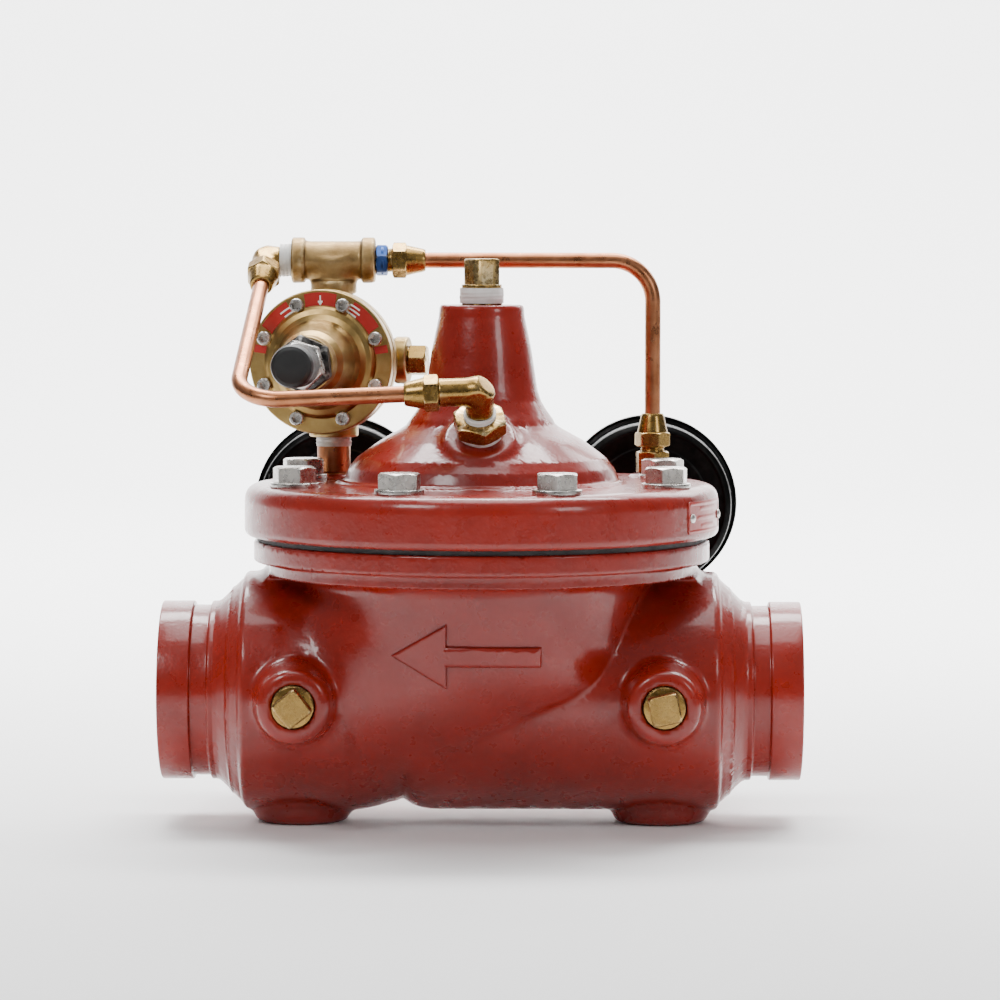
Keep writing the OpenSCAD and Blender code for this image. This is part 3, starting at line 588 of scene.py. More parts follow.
def glass(name):
    f = Finish(name)
    f.set(Transmission_Weight=1.0, IOR=1.47, Base_Color=(0.97, 0.98, 0.98, 1))
    f.rough(f.between(f.noise(11, 3), 0.3, 0.7, 0.01, 0.05))
    return f.bumps((f.noise(18, 2), 0.01)).material


FINISHES = {name: make(name, *look) for name, make, *look in (
    ("red_paint", paint, (0.25, 0.011, 0.0045), (0.18, 0.009, 0.004), 0.24),
    ("red_label", paint, (0.46, 0.025, 0.018), (0.38, 0.02, 0.015), 0.3),
    ("red_plate", paint, (0.40, 0.024, 0.014), (0.30, 0.018, 0.012), 0.32),
    ("stainless", metal, (0.66, 0.64, 0.61), (0.5, 0.48, 0.45), (0.2, 0.36), 0.5, 0.008),
    ("fastener_steel", metal, (0.62, 0.59, 0.55), (0.45, 0.42, 0.39), (0.2, 0.38), 0.4, 0.01, 6,
     (0.9, 0.9, 0.88)),
    ("spring_steel", metal, (0.5, 0.49, 0.47), (0.3, 0.29, 0.28), (0.3, 0.45)),
    ("rubber", plastic, (0.02, 0.02, 0.021), (0.035, 0.034, 0.033), (0.6, 0.8)),
    ("bearing_bronze", metal, (0.62, 0.37, 0.17), (0.42, 0.24, 0.1), (0.3, 0.5)),
    ("cast_iron_trim", metal, (0.24, 0.23, 0.22), (0.12, 0.115, 0.11), (0.4, 0.6), 1.2, 0.08),
    ("brass", metal, (0.36, 0.225, 0.07), (0.27, 0.16, 0.045), (0.2, 0.34), 0.6, 0.006, 9,
     (0.86, 0.68, 0.38)),
    ("satin_brass", metal, (0.40, 0.27, 0.10), (0.30, 0.19, 0.065), (0.28, 0.42), 0.35, 0.02, 11,
     (0.84, 0.68, 0.42)),
    ("cast_bronze", metal, (0.37, 0.245, 0.105), (0.24, 0.15, 0.06), (0.36, 0.56), 1.1, 0.09, 8,
     (0.8, 0.62, 0.36)),
    ("copper", metal, (0.52, 0.215, 0.105), (0.33, 0.125, 0.055), (0.24, 0.42), 0.8, 0.012, 13,
     (0.8, 0.46, 0.3)),
    ("blue_fitting", metal, (0.03, 0.075, 0.24), (0.02, 0.045, 0.14), (0.3, 0.45), 0.5, 0.01, 5,
     (0.35, 0.4, 0.55)),
    ("thread_tape", plastic, (0.82, 0.82, 0.80), (0.66, 0.65, 0.62), (0.45, 0.65), 0, 0.8, 0.05),
    ("black_plastic", plastic, (0.004, 0.004, 0.0045), (0.007, 0.007, 0.0075), (0.4, 0.55)),
    ("black_steel", metal, (0.012, 0.0115, 0.0115), (0.006, 0.006, 0.006), (0.3, 0.46), 0.6, 0.02,
     6, (0.3, 0.29, 0.28)),
    ("clear_lens", glass),
    ("dial_white", plastic, (0.86, 0.86, 0.84), (0.8, 0.8, 0.77), (0.4, 0.5)),
    ("pointer_black", plastic, (0.01, 0.01, 0.01), (0.02, 0.02, 0.02), (0.4, 0.5)),
)}


# ---------- Making pieces ----------

def link(name, data):
    made = bpy.data.objects.new(name, data)
    bpy.context.scene.collection.objects.link(made)
    return made


def break_edges(made, width, angle):
    soft = made.modifiers.new("edges", "BEVEL")
    soft.width, soft.segments = width * MM, 2
    soft.limit_method, soft.angle_limit = "ANGLE", math.radians(angle)
    return soft


def piece(name, shape, finish, replaces=(), body=None, place=AT_STEM, bevel=0.0, sharp=SHARP):
    """A Blender object from a shape in millimetres. It rides on the body of what it replaces."""
    matrix = np.array(place, float)
    points = (shape.points @ matrix[:3, :3].T + matrix[:3, 3]) * MM + STEM
    mesh = bpy.data.meshes.new(name)
    mesh.from_pydata(points.tolist(), [], shape.faces)
    mesh.update()
    made = link(name, mesh)
    if shape.normals is None:
        whole = bmesh.new()
        whole.from_mesh(mesh)
        bmesh.ops.remove_doubles(whole, verts=whole.verts, dist=1e-7)
        bmesh.ops.recalc_face_normals(whole, faces=whole.faces)
        whole.to_mesh(mesh)
        whole.free()
    mesh.shade_smooth()
    if shape.normals is not None:
        mesh.normals_split_custom_set_from_vertices((shape.normals @ matrix[:3, :3].T).tolist())
    else:
        mesh.set_sharp_from_angle(angle=math.radians(sharp))
    if bevel:
        break_edges(made, bevel, sharp).harden_normals = True
    mesh.materials.append(FINISHES[finish])
    owners = [replaces] if isinstance(replaces, str) else list(replaces)
    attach(made, body or frame["nodes"][owners[0]]["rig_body"])
    if owners:
        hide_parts(*owners)
    return made


def refine(node, finish):
    """A CAD node that keeps its shape, with broken edges and a proper finish."""
    made = frame["nodes"][node]
    made.data.materials.clear()
    made.data.materials.append(FINISHES[finish])
    weld = made.modifiers.new("weld", "WELD")
    weld.merge_threshold = 1e-6
    break_edges(made, 0.25, SHARP)


# ---------- Body ----------

LOBE_R = 59.2
TILT = math.radians(28)
BEND_X = -67.0
INLET_END = -44.0
WALL = 9.0
PIPE_R = 44.45
BORE_R = 38.95
GROOVE_R = 42.47
GROOVE = (15.88, 24.62)


def outlet_duct(x, y, z, inset=0.0):
    """The outlet side: a lying round pipe that widens and climbs over the bridge to the flange."""
    t = (x - BEND_X) * math.cos(TILT) + z * math.sin(TILT)
    v = z * math.cos(TILT) - (x - BEND_X) * math.sin(TILT)
    wide = LOBE_R + 1 + 0.235 * np.clip(t, 0, 110) - inset
    tall = LOBE_R - inset
    power = 2.0 + 1.0 * np.clip(t / 40, 0, 1)
    ratio = (np.abs(y / wide) ** power + np.abs(v / tall) ** power) ** (1 / power)
    climbing = (ratio - 1) * tall
    lying = length2(y, z) - (LOBE_R - inset)
    lying = meet(lying, x - BEND_X - 2)
    knee = np.sqrt((x - BEND_X) ** 2 + y ** 2 + z ** 2) - (LOBE_R + 0.6 - inset)
    climbing = meet(climbing, -t - 2)
    duct = smooth_min(smooth_min(lying, knee, 3), climbing, 4)
    bowl = length2(x, y) - (85.2 - inset)
    bowl = np.where(x < 0, bowl - 0.9 * np.clip(-x, 0, 60), bowl)
    return smooth_max(duct, bowl, 14)


def flare(x, y, z):
    """The bowl under the flange."""
    r = length2(x, y)
    wall = (r - (60 + 24.5 * np.clip((z - 2) / 56, 0, 1) ** 0.8)) * 0.9
    return meet(wall, meet(6 - z, z - 62))


def inlet_duct(x, y, z, inset=0.0):
    """The inlet side: a lying round pipe, closed under the seat by a blunt, round-cornered end."""
    tube = length2(y, z) - (LOBE_R - inset)
    return smooth_max(tube, INLET_END + inset - x, 22)


ARROW_RISE = 1.8
ARROW_Z = 24.0
PIPE_END = [(0, -30), (PIPE_R, -30), (PIPE_R, -28.6), (54.5, -38.6), (LOBE_R - 0.4, -43.5),
            (LOBE_R - 0.4, -60), (0, -60)]
END_SEAM = 28.0


def end_field(x, y, z):
    """The cone and the shoulder behind each grooved end, up to where the turned end takes over."""
    along = np.abs(x) - END_X
    r = length2(y, z)
    cone = segment_field(r, along, PIPE_END)
    bar = meet(r - PIPE_R + 0.15, along + END_SEAM - 2, -60 - along)
    lip = meet(np.abs(along + 36.5) - 1.4, r - 51.2)
    return smooth_min(smooth_min(bar, cone, 2.0), lip, 1.5)


def arrow_field(x, y, z):
    """The raised arrow, which follows the skin of the casting under it."""
    skin = body_skin(x, y, z)
    return meet(smooth_max(skin - ARROW_RISE, flow_arrow(x, z) - 0.4, 1.6), -2 - skin)


def make_arrow():
    low, high = (-46, -84, ARROW_Z - 18), (34, -44, ARROW_Z + 18)
    arrow = field_solid(arrow_field, low, high, fine_or_quick(0.55), 0.01)
    piece("cast_flow_arrow", arrow, "red_paint", body="root")


def make_ends():
    """The machined pipe ends: a land, a groove for the coupling, and the start of the casting."""
    near, far = GROOVE
    outside = [(PIPE_R, -END_SEAM), (PIPE_R, -far), (GROOVE_R, -far), (GROOVE_R, -near),
               (PIPE_R, -near), (PIPE_R, 0), (BORE_R, 0)]
    loop = eased([(BORE_R, -END_SEAM)] + outside + [(BORE_R, -END_SEAM)], 0.9, 4)
    ring = turned_shape(loop[:-1], closed=True, segments=160)
    ends = together(ring.placed(axes_at((side * END_X, 0, 0), (side, 0, 0))) for side in (-1, 1))
    piece("grooved_end_pair", ends, "red_paint", body="root", sharp=50)


def flow_arrow(x, z):
    """A plain arrow pointing from the inlet to the outlet."""
    up = np.abs(z - ARROW_Z)
    shaft = meet(up - 4.6, np.abs(x - 6) - 24)
    head = meet(up * 0.86 - (x + 42) * 0.51, x + 16)
    return union(shaft, head)


def body_skin(x, y, z):
    along = np.abs(x)
    inlet = inlet_duct(x, y, z)
    outlet = smooth_min(outlet_duct(x, y, z), flare(x, y, z), 9)
    outlet = meet(outlet, z - 66)
    outlet = meet(outlet, -END_X + 30 - x)
    shell = smooth_min(inlet, outlet, 1.4)
    shell = smooth_max(shell, along - (END_X - 41), 3)
    shell = smooth_min(shell, end_field(x, y, z), 1.5)
    r = length2(x, y)
    neck = meet(r - 106.5, np.abs(z - 64) - 5)
    shell = smooth_min(shell, neck, 7)
    foot = length2(along - PORT_X, y) - 24.2
    foot = smooth_max(foot, FOOT_Z - z, 6)
    foot = meet(foot, z + 35)
    shell = smooth_min(shell, foot, 3.5)
    boss = length2(along - PORT_X, z)
    lean = boss - 21 + 0.16 * np.clip(np.abs(y) - 58, 0, 30)
    lug = meet(smooth_max(lean, np.abs(y) - PLUG_FACE, 4.5), 30 - np.abs(y))
    shell = smooth_min(shell, lug, 4)
    flange = smooth_max(r - 113.3, np.abs(z - BODY_TOP + 5.1) - 5.1, 1.6)
    return smooth_min(shell, flange, 2.2)


def bridge(x, z, low, flat_to, slope_x, slope_z):
    """How far a point is above the bridge line, which climbs towards the inlet."""
    climb = (slope_z - low) / (slope_x - flat_to)
    height = low + climb * np.clip(x - flat_to, 0, 120)
    return (z - height) * 0.85


def body_field(x, y, z):
    r = length2(x, y)
    tube = length2(y, z)
    keep = meet(inlet_duct(x, y, z), bridge(x, z, 26, 52, 82, 52))
    chamber = meet(outlet_duct(x, y, z, WALL), -END_X + 42 - x)
    chamber = union(chamber, meet(r - 73, np.abs(z - 67) - 13))
    chamber = union(chamber, meet(r - (57 + (z - 20) * 0.45), np.abs(z - 40) - 20))
    chamber = smooth_max(chamber, -keep, 2)
    chamber = meet(chamber, -meet(r - 52, np.abs(z - 10) - 20))
    lower = smooth_max(inlet_duct(x, y, z, WALL), bridge(x, z, 17, 48, 74, 40), 3)
    lower = meet(lower, x - END_X + 43)
    mouth = meet(tube - BORE_R, 105 - np.abs(x))
    seat = meet(r - 42, np.abs(z - 20) - 15)
    holes = length2(np.abs(x) - PORT_X, z) - 10.7
    holes = meet(holes, 35 - np.abs(y))
    bolt = meet(from_eight(x, y, BOLT_CIRCLE) - 6, 50 - z)
    empty = union(chamber, lower, mouth, seat, holes, bolt)
    return smooth_max(body_skin(x, y, z), -empty, 0.8)


def make_body():
    low, high = (-END_X - 4, -116, FOOT_Z - 4), (END_X + 4, 116, BODY_TOP + 4)
    shape = field_solid(body_field, low, high, fine_or_quick(1.3), 0.02)
    return piece("valve_body_casting", shape, "red_paint", "valve_body")


# ---------- Cover ----------

COVER_OUTLINE = [
    (0, COVER_BASE), (COVER_R, COVER_BASE), (COVER_R, FLANGE_TOP), (72, FLANGE_TOP),
    (68.4, FLANGE_TOP + 1.2), (67.8, 107), (66, 111.5), (62, 116.5), (50.5, 125), (39.5, 131),
    (36.6, 133.2), (35.4, 135.6), (32.2, 140), (29.3, 145), (27.6, 151), (24.8, 170), (22.7, 180),
    (21.4, 186), (20.9, COVER_TOP), (0, COVER_TOP),
]
CHAMBER = [
    (0, COVER_BASE - 2), (76, COVER_BASE - 2), (76, COVER_BASE), (74, 84), (62, 104), (54, 113),
    (42, 122.5), (30, 128), (28, 133), (13, 133), (13, 178), (0, 180),
]


def port_coordinates(x, y, z):
    """Across, along and round the leaning axis of the front port."""
    dy, dz = y - COVER_PORT[1], z - COVER_PORT[2]
    along = dy * PORT_DIRECTION[1] + dz * PORT_DIRECTION[2]
    across = dy * PORT_DIRECTION[2] - dz * PORT_DIRECTION[1]
    return length2(x, across), along


def cover_field(x, y, z):
    r = length2(x, y)
    solid = segment_field(r, z, COVER_OUTLINE)
    edge = smooth_max(r - COVER_R, z - FLANGE_TOP, 9)
    edge = smooth_max(edge, COVER_BASE - z, 4)
    solid = np.where(z < FLANGE_TOP + 0.5, meet(solid, edge), solid)
    solid = smooth_max(solid, z - COVER_TOP, 3.5)
    rim = meet(r - 70.5, z - FLANGE_TOP - 0.9, COVER_BASE - z)
    solid = smooth_min(solid, rim, 2.5)
    port_r, along = port_coordinates(x, y, z)
    pad = smooth_max(port_r - 17.6 + 0.14 * (along + 6), along + 6, 3)
    pad = meet(pad, -30 - along)
    solid = smooth_min(solid, pad, 5)
    for node_x in (PILOT[0], SUPPLY[0]):
        lug_r = length2(x - node_x, y - PILOT[1])
        lug = smooth_max(lug_r - 11.6, np.abs(z - FLANGE_TOP + 2) - 3.2, 1.6)
        solid = smooth_min(solid, lug, 2)
    bolt_r = from_eight(x, y, BOLT_CIRCLE)
    empty = union(bolt_r - 6.7, meet(bolt_r - 12.9, FLANGE_TOP - 0.3 - z),
                  segment_field(r, z, CHAMBER), meet(r - 10.7, 170 - z),
                  meet(port_r - 8.6, -46 - along))
    for node_x, hole in ((PILOT[0], 8.7), (SUPPLY[0], 6.9)):
        lug_r = length2(x - node_x, y - PILOT[1])
        empty = union(empty, meet(lug_r - hole, 91 - z), lug_r - 5)
    return smooth_max(solid, -empty, 0.9)


def make_cover():
    edge = COVER_R + 4
    low, high = (-edge, -edge, COVER_BASE - 4), (edge, edge, COVER_TOP + 4)
    shape = field_solid(cover_field, low, high, fine_or_quick(1.15), 0.02)
    return piece("cover_casting", shape, "red_paint", "cover")


# ---------- Fasteners and plugs of the main valve ----------

def make_cover_bolts():
    rng = np.random.default_rng(SEED)
    bolts = []
    for _, place in eight_places(BOLT_CIRCLE):
        spin = turned(rng.uniform(0, 60))
        head = hexagon(19.0, HEAD_TOP - WASHER_TOP, bottom=False).placed(shifted(0, 0, WASHER_TOP))
        shank = thread(5.9, BODY_TOP - 9, WASHER_TOP + 0.3, pitch=1.75, depth=0.6, segments=32)
        bolts.append((head + shank).placed(place @ spin))
    piece("cover_bolt_set", together(bolts), "fastener_steel", "cover_bolts", bevel=0.2, sharp=28)
    outline = ring_outline(12, 6.6, FLANGE_TOP - 0.3, WASHER_TOP, 0.5)
    washer = turned_shape(outline, closed=True, segments=72)
    washers = together(washer.placed(place) for _, place in eight_places(BOLT_CIRCLE))
    piece("cover_washer_set", washers, "stainless", "cover_washers")


def square_plug(thread_r, depth, square, height, turn):
    """A pipe plug with a square head cast a little round at its corners."""
    outline = []
    for k in range(48):
        a = 2 * math.pi * k / 48
        c, s = math.cos(a), math.sin(a)
        r = square / 2 / (abs(c) ** 9 + abs(s) ** 9) ** (1 / 9)
        outline.append((a, r))
    levels = [(1.0, 0.6), (1.0, height - 1.0), (0.97, height - 0.5), (0.9, height)]
    points = [(r * f * math.cos(a), r * f * math.sin(a), z) for f, z in levels for a, r in outline]
    n, rows = len(outline), len(levels)
    head = Shape(points, quads(rows, n) + caps(rows, n)).placed(turned(turn))
    neck = thread_r - 0.5
    collar = turned_shape(eased([(0, -0.6), (neck, -0.6), (neck, 1.2), (0, 1.6)], 0.5))
    return head + collar + thread(thread_r - 0.1, -depth, -0.4, pitch=1.81, depth=0.7)


def make_plugs():
    plugs = []
    for side, turn in ((1, 12), (-1, 38)):
        place = axes_at((side * PORT_X, -PLUG_FACE, 0), (0, -1, 0))
        plugs.append(square_plug(10.6, 16, 14.6, 10, turn).placed(place))
    piece("port_plugs", together(plugs), "brass", "side_plugs", bevel=0.25)
    top = square_plug(10.5, 19, 14, 14, 28).placed(shifted(0, 0, COVER_TOP + 8))
    piece("tower_plug", top, "brass", "top_plug", bevel=0.25)


def tape_wraps(outer, inner, low, high, seed):
    """Turns of thin white tape pulled tight into a thread, with ragged edges."""
    rng = np.random.default_rng(seed)
    phases = rng.uniform(0, 6.28, 6)
    steps = 14

    def ragged(a, z, r):
        if r < inner + 0.3:
            return 0.0
        turns = 0.16 * math.sin(2 * math.pi * (z - low) / 1.8 - a)
        waves = (math.sin((k + 2) * a + phases[k] + z * 0.8) for k in range(4))
        return turns + 0.14 * sum(waves) / 2

    outline = [(inner, low), (outer - 0.6, low)]
    outline += [(outer - 0.25 - 0.2 * abs(i - steps / 2) / steps, low + (high - low) * i / steps)
                for i in range(steps + 1)]
    outline += [(outer - 0.6, high), (inner, high)]
    return turned_shape(outline, closed=True, segments=72, wave=ragged)


def make_tape():
    wraps = [
        tape_wraps(11.2, 10.6, COVER_TOP - 0.1, COVER_TOP + 7.5, 1),
        tape_wraps(10.8, 8.6, -6, -2.5, 2).placed(AT_PORT),
        tape_wraps(8.2, 6.5, 6, 8.5, 3).placed(AT_PORT),
        tape_wraps(9.2, 8.6, PILOT[2] - 44, PILOT[2] - 39, 4).placed(
            shifted(PILOT[0], PILOT[1], 0)),
        tape_wraps(8.6, 6.9, 0, 6, 5).placed(axes_at((TEE[0] - 27.2, TEE[1], TEE[2]), (1, 0, 0))),
    ]
    piece("sealing_tape", together(wraps), "thread_tape", "thread_tape", sharp=60)


def curved_plate(radius, thick, low, high, from_angle, to_angle, ease=1.6, steps=40):
    """A round-cornered plate bent round z, with a raised border and three plain bars."""
    wide = math.radians(to_angle - from_angle) * radius
    tall = high - low
    nu, nv = steps * 3, steps

    def relief(u, v):
        qx, qy = abs(u) - wide / 2 + ease, abs(v) - tall / 2 + ease
        d = math.hypot(max(qx, 0), max(qy, 0)) + min(max(qx, qy), 0) - ease
        border = 0.22 if -1.6 < d < -0.8 else 0.0
        bars = 0.0
        for centre, length in ((4.2, 22), (0, 27), (-4.2, 18)):
            if abs(v - centre) < 0.8 and abs(u) < length / 2:
                bars = 0.2
        return max(border, bars)

    front, back = [], []
    for j in range(nv + 1):
        v = -tall / 2 + tall * j / nv
        for i in range(nu + 1):
            u = -wide / 2 + wide * i / nu
            cx = np.clip(u, -wide / 2 + ease, wide / 2 - ease)
            cy = np.clip(v, -tall / 2 + ease, tall / 2 - ease)
            d = math.hypot(u - cx, v - cy)
            if d > ease:
                u, v_here = cx + (u - cx) * ease / d, cy + (v - cy) * ease / d
            else:
                v_here = v
            a = math.radians((from_angle + to_angle) / 2) + u / radius
            for store, r in ((front, radius + thick + relief(u, v_here)), (back, radius)):
                store.append((r * math.cos(a), r * math.sin(a), (low + high) / 2 + v_here))
    n = len(front)
    w = nu + 1
    faces = []
    for j in range(nv):
        for i in range(nu):
            a, b, c, d = j * w + i, j * w + i + 1, (j + 1) * w + i + 1, (j + 1) * w + i
            faces += [(a, b, c, d), (n + d, n + c, n + b, n + a)]
    rim = [i for i in range(w)] + [j * w + nu for j in range(1, nv + 1)]
    rim += [nv * w + i for i in range(nu - 1, -1, -1)] + [j * w for j in range(nv - 1, 0, -1)]
    for a, b in zip(rim, rim[1:] + rim[:1]):
        faces.append((a, b, n + b, n + a))
    return Shape(front + back, faces)


def make_nameplate():
    low = COVER_BASE + 4
    plate = curved_plate(COVER_R + 0.05, 0.45, low, low + 16, -31, -8.5)
    piece("blank_nameplate", plate, "red_plate", "nameplate", sharp=40)
    rivets = []
    for a in (-29.4, -10.2):
        direction = (math.cos(math.radians(a)), math.sin(math.radians(a)), 0)
        start = np.array(direction) * (COVER_R - 8) + (0, 0, COVER_BASE + 11.8)
        dome = [(0, 0), (1.6, 0), (1.6, 8.6), (2.4, 8.65), (2.2, 9.3), (1.2, 9.85), (0, 10)]
        rivet = turned_shape(eased(dome, 0.4), segments=32)
        rivets.append(rivet.placed(axes_at(start, direction, (0, 0, 1))))
    piece("plate_rivets", together(rivets), "stainless", "nameplate_rivets")


# ---------- Pilot ----------

PILOT_JOINT = 26.0
PILOT_SPRING = (30.4, 55.9)
BONNET_TOP = 74.0
SCREW_CIRCLE = 30.7
PILOT_FLANGE_R = 36.4


def pilot_field(x, y, z):
    """The pilot's casting, in its own axes: z along the adjusting axis and y up."""
    r = length2(x, y)
    barrel = smooth_max(r - 19, np.abs(z + 2) - 22, 3)
    flange = smooth_max(r - PILOT_FLANGE_R, np.abs(z - PILOT_JOINT + 4) - 4, 1.4)
    solid = smooth_min(barrel, flange, 3)
    upright = length2(x, z)
    solid = smooth_min(solid, smooth_max(upright - 11.6, np.abs(y + 5) - 34, 1), 4)
    for low, high in ((-39, -32.5), (23, 29)):
        collar = smooth_max(upright - 12.5, np.abs(y - (low + high) / 2) - (high - low) / 2, 0.9)
        solid = smooth_min(solid, collar, 1.2)
    side = length2(y, z)
    arm = smooth_max(side - 11, meet(x - 38.8, -x), 1)
    cuff = smooth_max(side - 12, np.abs(x - 35.6) - 3.3, 0.9)
    solid = smooth_min(solid, smooth_min(arm, cuff, 1.2), 3.5)
    hole = from_eight(x, y, SCREW_CIRCLE) - 2.1
    empty = union(
        meet(r - 9, np.abs(z + 9) - 7), meet(r - 26, PILOT_JOINT - 5 - z),
        meet(r - 4, np.abs(z - 10) - 15), meet(r - 7, np.abs(z - 1) - 4),
        meet(upright - 8.7, 25 + y), meet(upright - 8.7, 17 - y),
        meet(side - 6.9, 26 - x), meet(hole, PILOT_JOINT - 9 - z))
    return smooth_max(solid, -empty, 0.5)


def make_pilot_casting():
    body = field_solid(pilot_field, (-40, -42, -27), (42, 40, 29), fine_or_quick(0.9), 0.03)
    piece("pilot_casting", body, "satin_brass", "pilot_body", place=AT_PILOT)


def make_pilot_bonnet():
    base = PILOT_JOINT + 1.4
    outside = [(18, base), (PILOT_FLANGE_R, base), (PILOT_FLANGE_R, base + 8), (28.4, base + 8),
               (28, base + 9.4), (26.6, base + 10.6), (24, base + 11.4), (21.4, base + 13.6),
               (19.6, base + 18), (18, base + 24), (16.4, base + 32), (14, base + 36),
               (14, BONNET_TOP)]
    inside = [(5.1, BONNET_TOP), (5.1, base + 38), (12, base + 38), (12, base + 30),
              (14, base + 24), (18, base + 8)]
    bonnet = turned_shape(eased_loop(outside + inside, 0.9), closed=True)
    piece("pilot_spring_bonnet", bonnet, "satin_brass", "pilot_bonnet", place=AT_PILOT, sharp=50)


def make_pilot_screws():
    screws = []
    head = PILOT_JOINT + 9.4
    for k, place in eight_places(SCREW_CIRCLE):
        place = place @ turned(23 * k)
        screws.append(socket_head(3.5, 4.0, 3.7).placed(place @ shifted(0, 0, head)))
        screws.append(thread(1.95, PILOT_JOINT - 8.5, head, 0.7, 0.3, 20).placed(place))
    piece("pilot_screw_set", together(screws), "fastener_steel", "pilot_screws", place=AT_PILOT)


def make_pilot_adjuster():
    """The lock nut, the adjusting screw and its ribbed cap."""
    nut = hexagon(26, 7, bore=5.1).placed(shifted(0, 0, BONNET_TOP + 0.1) @ turned(6))
    piece("pilot_lock_nut", nut, "black_steel", "pilot_jam_nut", place=AT_PILOT, bevel=0.2)
    head = hexagon(22, 7.8, lean=0.45).placed(shifted(0, 0, BONNET_TOP + 9.2) @ turned(14))
    rod = thread(5, PILOT_JOINT + 33, BONNET_TOP + 9.6, 1.25, 0.5, 32)
    neck = turned_shape(eased([(0, 0), (8, 0), (8, 10), (0, 10)], 0.5)).placed(
        shifted(0, 0, BONNET_TOP + 16.9))
    piece("pilot_screw", rod + head + neck, "stainless", "pilot_adjusting_screw", place=AT_PILOT,
          bevel=0.15)
    skin = [(8.05, 10), (8.05, 0), (10.4, 0), (10.7, 0.8), (10.7, 15.6), (9.9, 18.2), (8.2, 19.1),
            (4, 19.35), (0, 19.4)]
    lining = [(0, 10), (8.05, 10)]

    def ribs(a):
        return 0.1 * math.cos(30 * a)

    cap = turned_shape(eased(skin, 0.8, 4) + lining, segments=96,
                       wave=lambda a, z, r: ribs(a) if r > 10.3 and 2 < z < 14 else 0)
    piece("pilot_cap", cap.placed(shifted(0, 0, BONNET_TOP + 17.1)), "black_plastic",
          "pilot_screw_cap", place=AT_PILOT)


def make_pilot_label_and_plug():
    band = arc_strip(8, 172, 26.9, 34.9, PILOT_JOINT + 9.42, 0.25, 200, 4.2)
    piece("pilot_band", band, "red_label", "pilot_label", place=AT_PILOT, sharp=40)
    piece("pilot_band_marks", band_marks(PILOT_JOINT + 9.42), "dial_white", body="root",
          place=AT_PILOT)
    plug = hexagon(14.3, 9).placed(shifted(0, 0, 39.4) @ turned(20))
    plug = plug + thread(6.7, 29, 40, 1.41, 0.5, 36)
    piece("pilot_port_plug", plug, "brass", "pilot_side_plug",
          place=AT_PILOT @ axes_at((0, 0, 0), (1, 0, 0), (0, 0, 1)), bevel=0.2)


def socket_head(radius, height, socket):
    """A cap screw's head: a knurled drum with a hexagon socket."""
    sides = 48
    depth = height * 0.8
    rows = []
    for r, z, knurl, hexed in ((radius * 0.5, 0, 0, 0), (radius, 0, 1, 0),
                               (radius, height - 0.4, 1, 0),
                               (radius - 0.4, height, 0, 0), (socket * 0.56, height, 0, 1),
                               (socket * 0.5, height - depth, 0, 1)):
        line = []
        for k in range(sides):
            a = 2 * math.pi * k / sides
            here = r
            if knurl:
                here = r - 0.12 * (k % 2)
            if hexed:
                here = r / math.cos((a % (math.pi / 3)) - math.pi / 6)
            line.append((here * math.cos(a), here * math.sin(a), z))
        rows.append(line)
    return Shape([p for line in rows for p in line],
                 quads(len(rows), sides) + caps(len(rows), sides))


def arc_strip(start, end, low, high, base, rise, steps=24, cut=0.0):
    """A flat strip round part of a circle. A cut radius keeps it clear of the screws."""
    points = []
    for i in range(steps + 1):
        a = math.radians(start + (end - start) * i / steps)
        near = min(abs(math.degrees(a) - (22.5 + 45 * k)) for k in range(8))
        reach = math.sqrt(max(cut ** 2 - (math.radians(near) * SCREW_CIRCLE) ** 2, 0))
        outer = max(high - (high - SCREW_CIRCLE + reach if reach else 0), low + 0.4)
        for r, z in ((low, 0), (outer, 0), (outer, rise), (low, rise)):
            points.append((r * math.cos(a), r * math.sin(a), base + z))
    ends = [(3, 2, 1, 0), tuple(steps * 4 + k for k in range(4))]
    return Shape(points, quads(steps + 1, 4) + ends)


def band_marks(head_z):
    """Plain bars in place of lettering, and an arrow that points in at the pilot."""
    base, marks = head_z + 0.26, []
    for centre, lines in ((57, ((28.4, 12), (30.4, 15), (32.4, 10))),
                          (123, ((28.4, 12), (31, 15)))):
        for low, span in lines:
            marks.append(arc_strip(centre - span / 2, centre + span / 2, low, low + 0.8, base,
                                   0.06))
    for low, half in ((28.0, 0.3), (28.9, 1.2), (29.8, 2.2)):
        marks.append(arc_strip(90 - half, 90 + half, low, low + 0.9, base, 0.06, 4))
    marks.append(arc_strip(89.4, 90.6, 30.7, 33.4, base, 0.06, 4))
    return together(marks)


# ---------- Pipework ----------

def pipe_thread(radius, low, high):
    return thread(radius, low, high, 1.41, 0.45, 40)


def flare_thread(low, high):
    return thread(6.2, low, high, 1.4, 0.4, 40)


def sleeve(radius, bore, low, high, ease=0.5):
    return turned_shape(ring_outline(radius, bore, low, high, ease), closed=True, segments=64)


def threaded_pipe(radius, bore, low, high, cut, pitch=1.41):
    """A nipple whose ends are threaded over a length, and plain between."""
    steps = int((high - low) * 6 / pitch)
    outline = [(bore, low)]
    for i in range(steps + 1):
        outline.append((radius, low + (high - low) * i / steps))
    outline.append((bore, high))

    def groove(a, z, r):
        if r < radius - 0.1 or low + cut < z < high - cut:
            return 0.0
        return -0.42 * abs(2 * ((z / pitch - a / (2 * math.pi)) % 1) - 1)

    return turned_shape(outline, closed=True, segments=48, wave=groove)


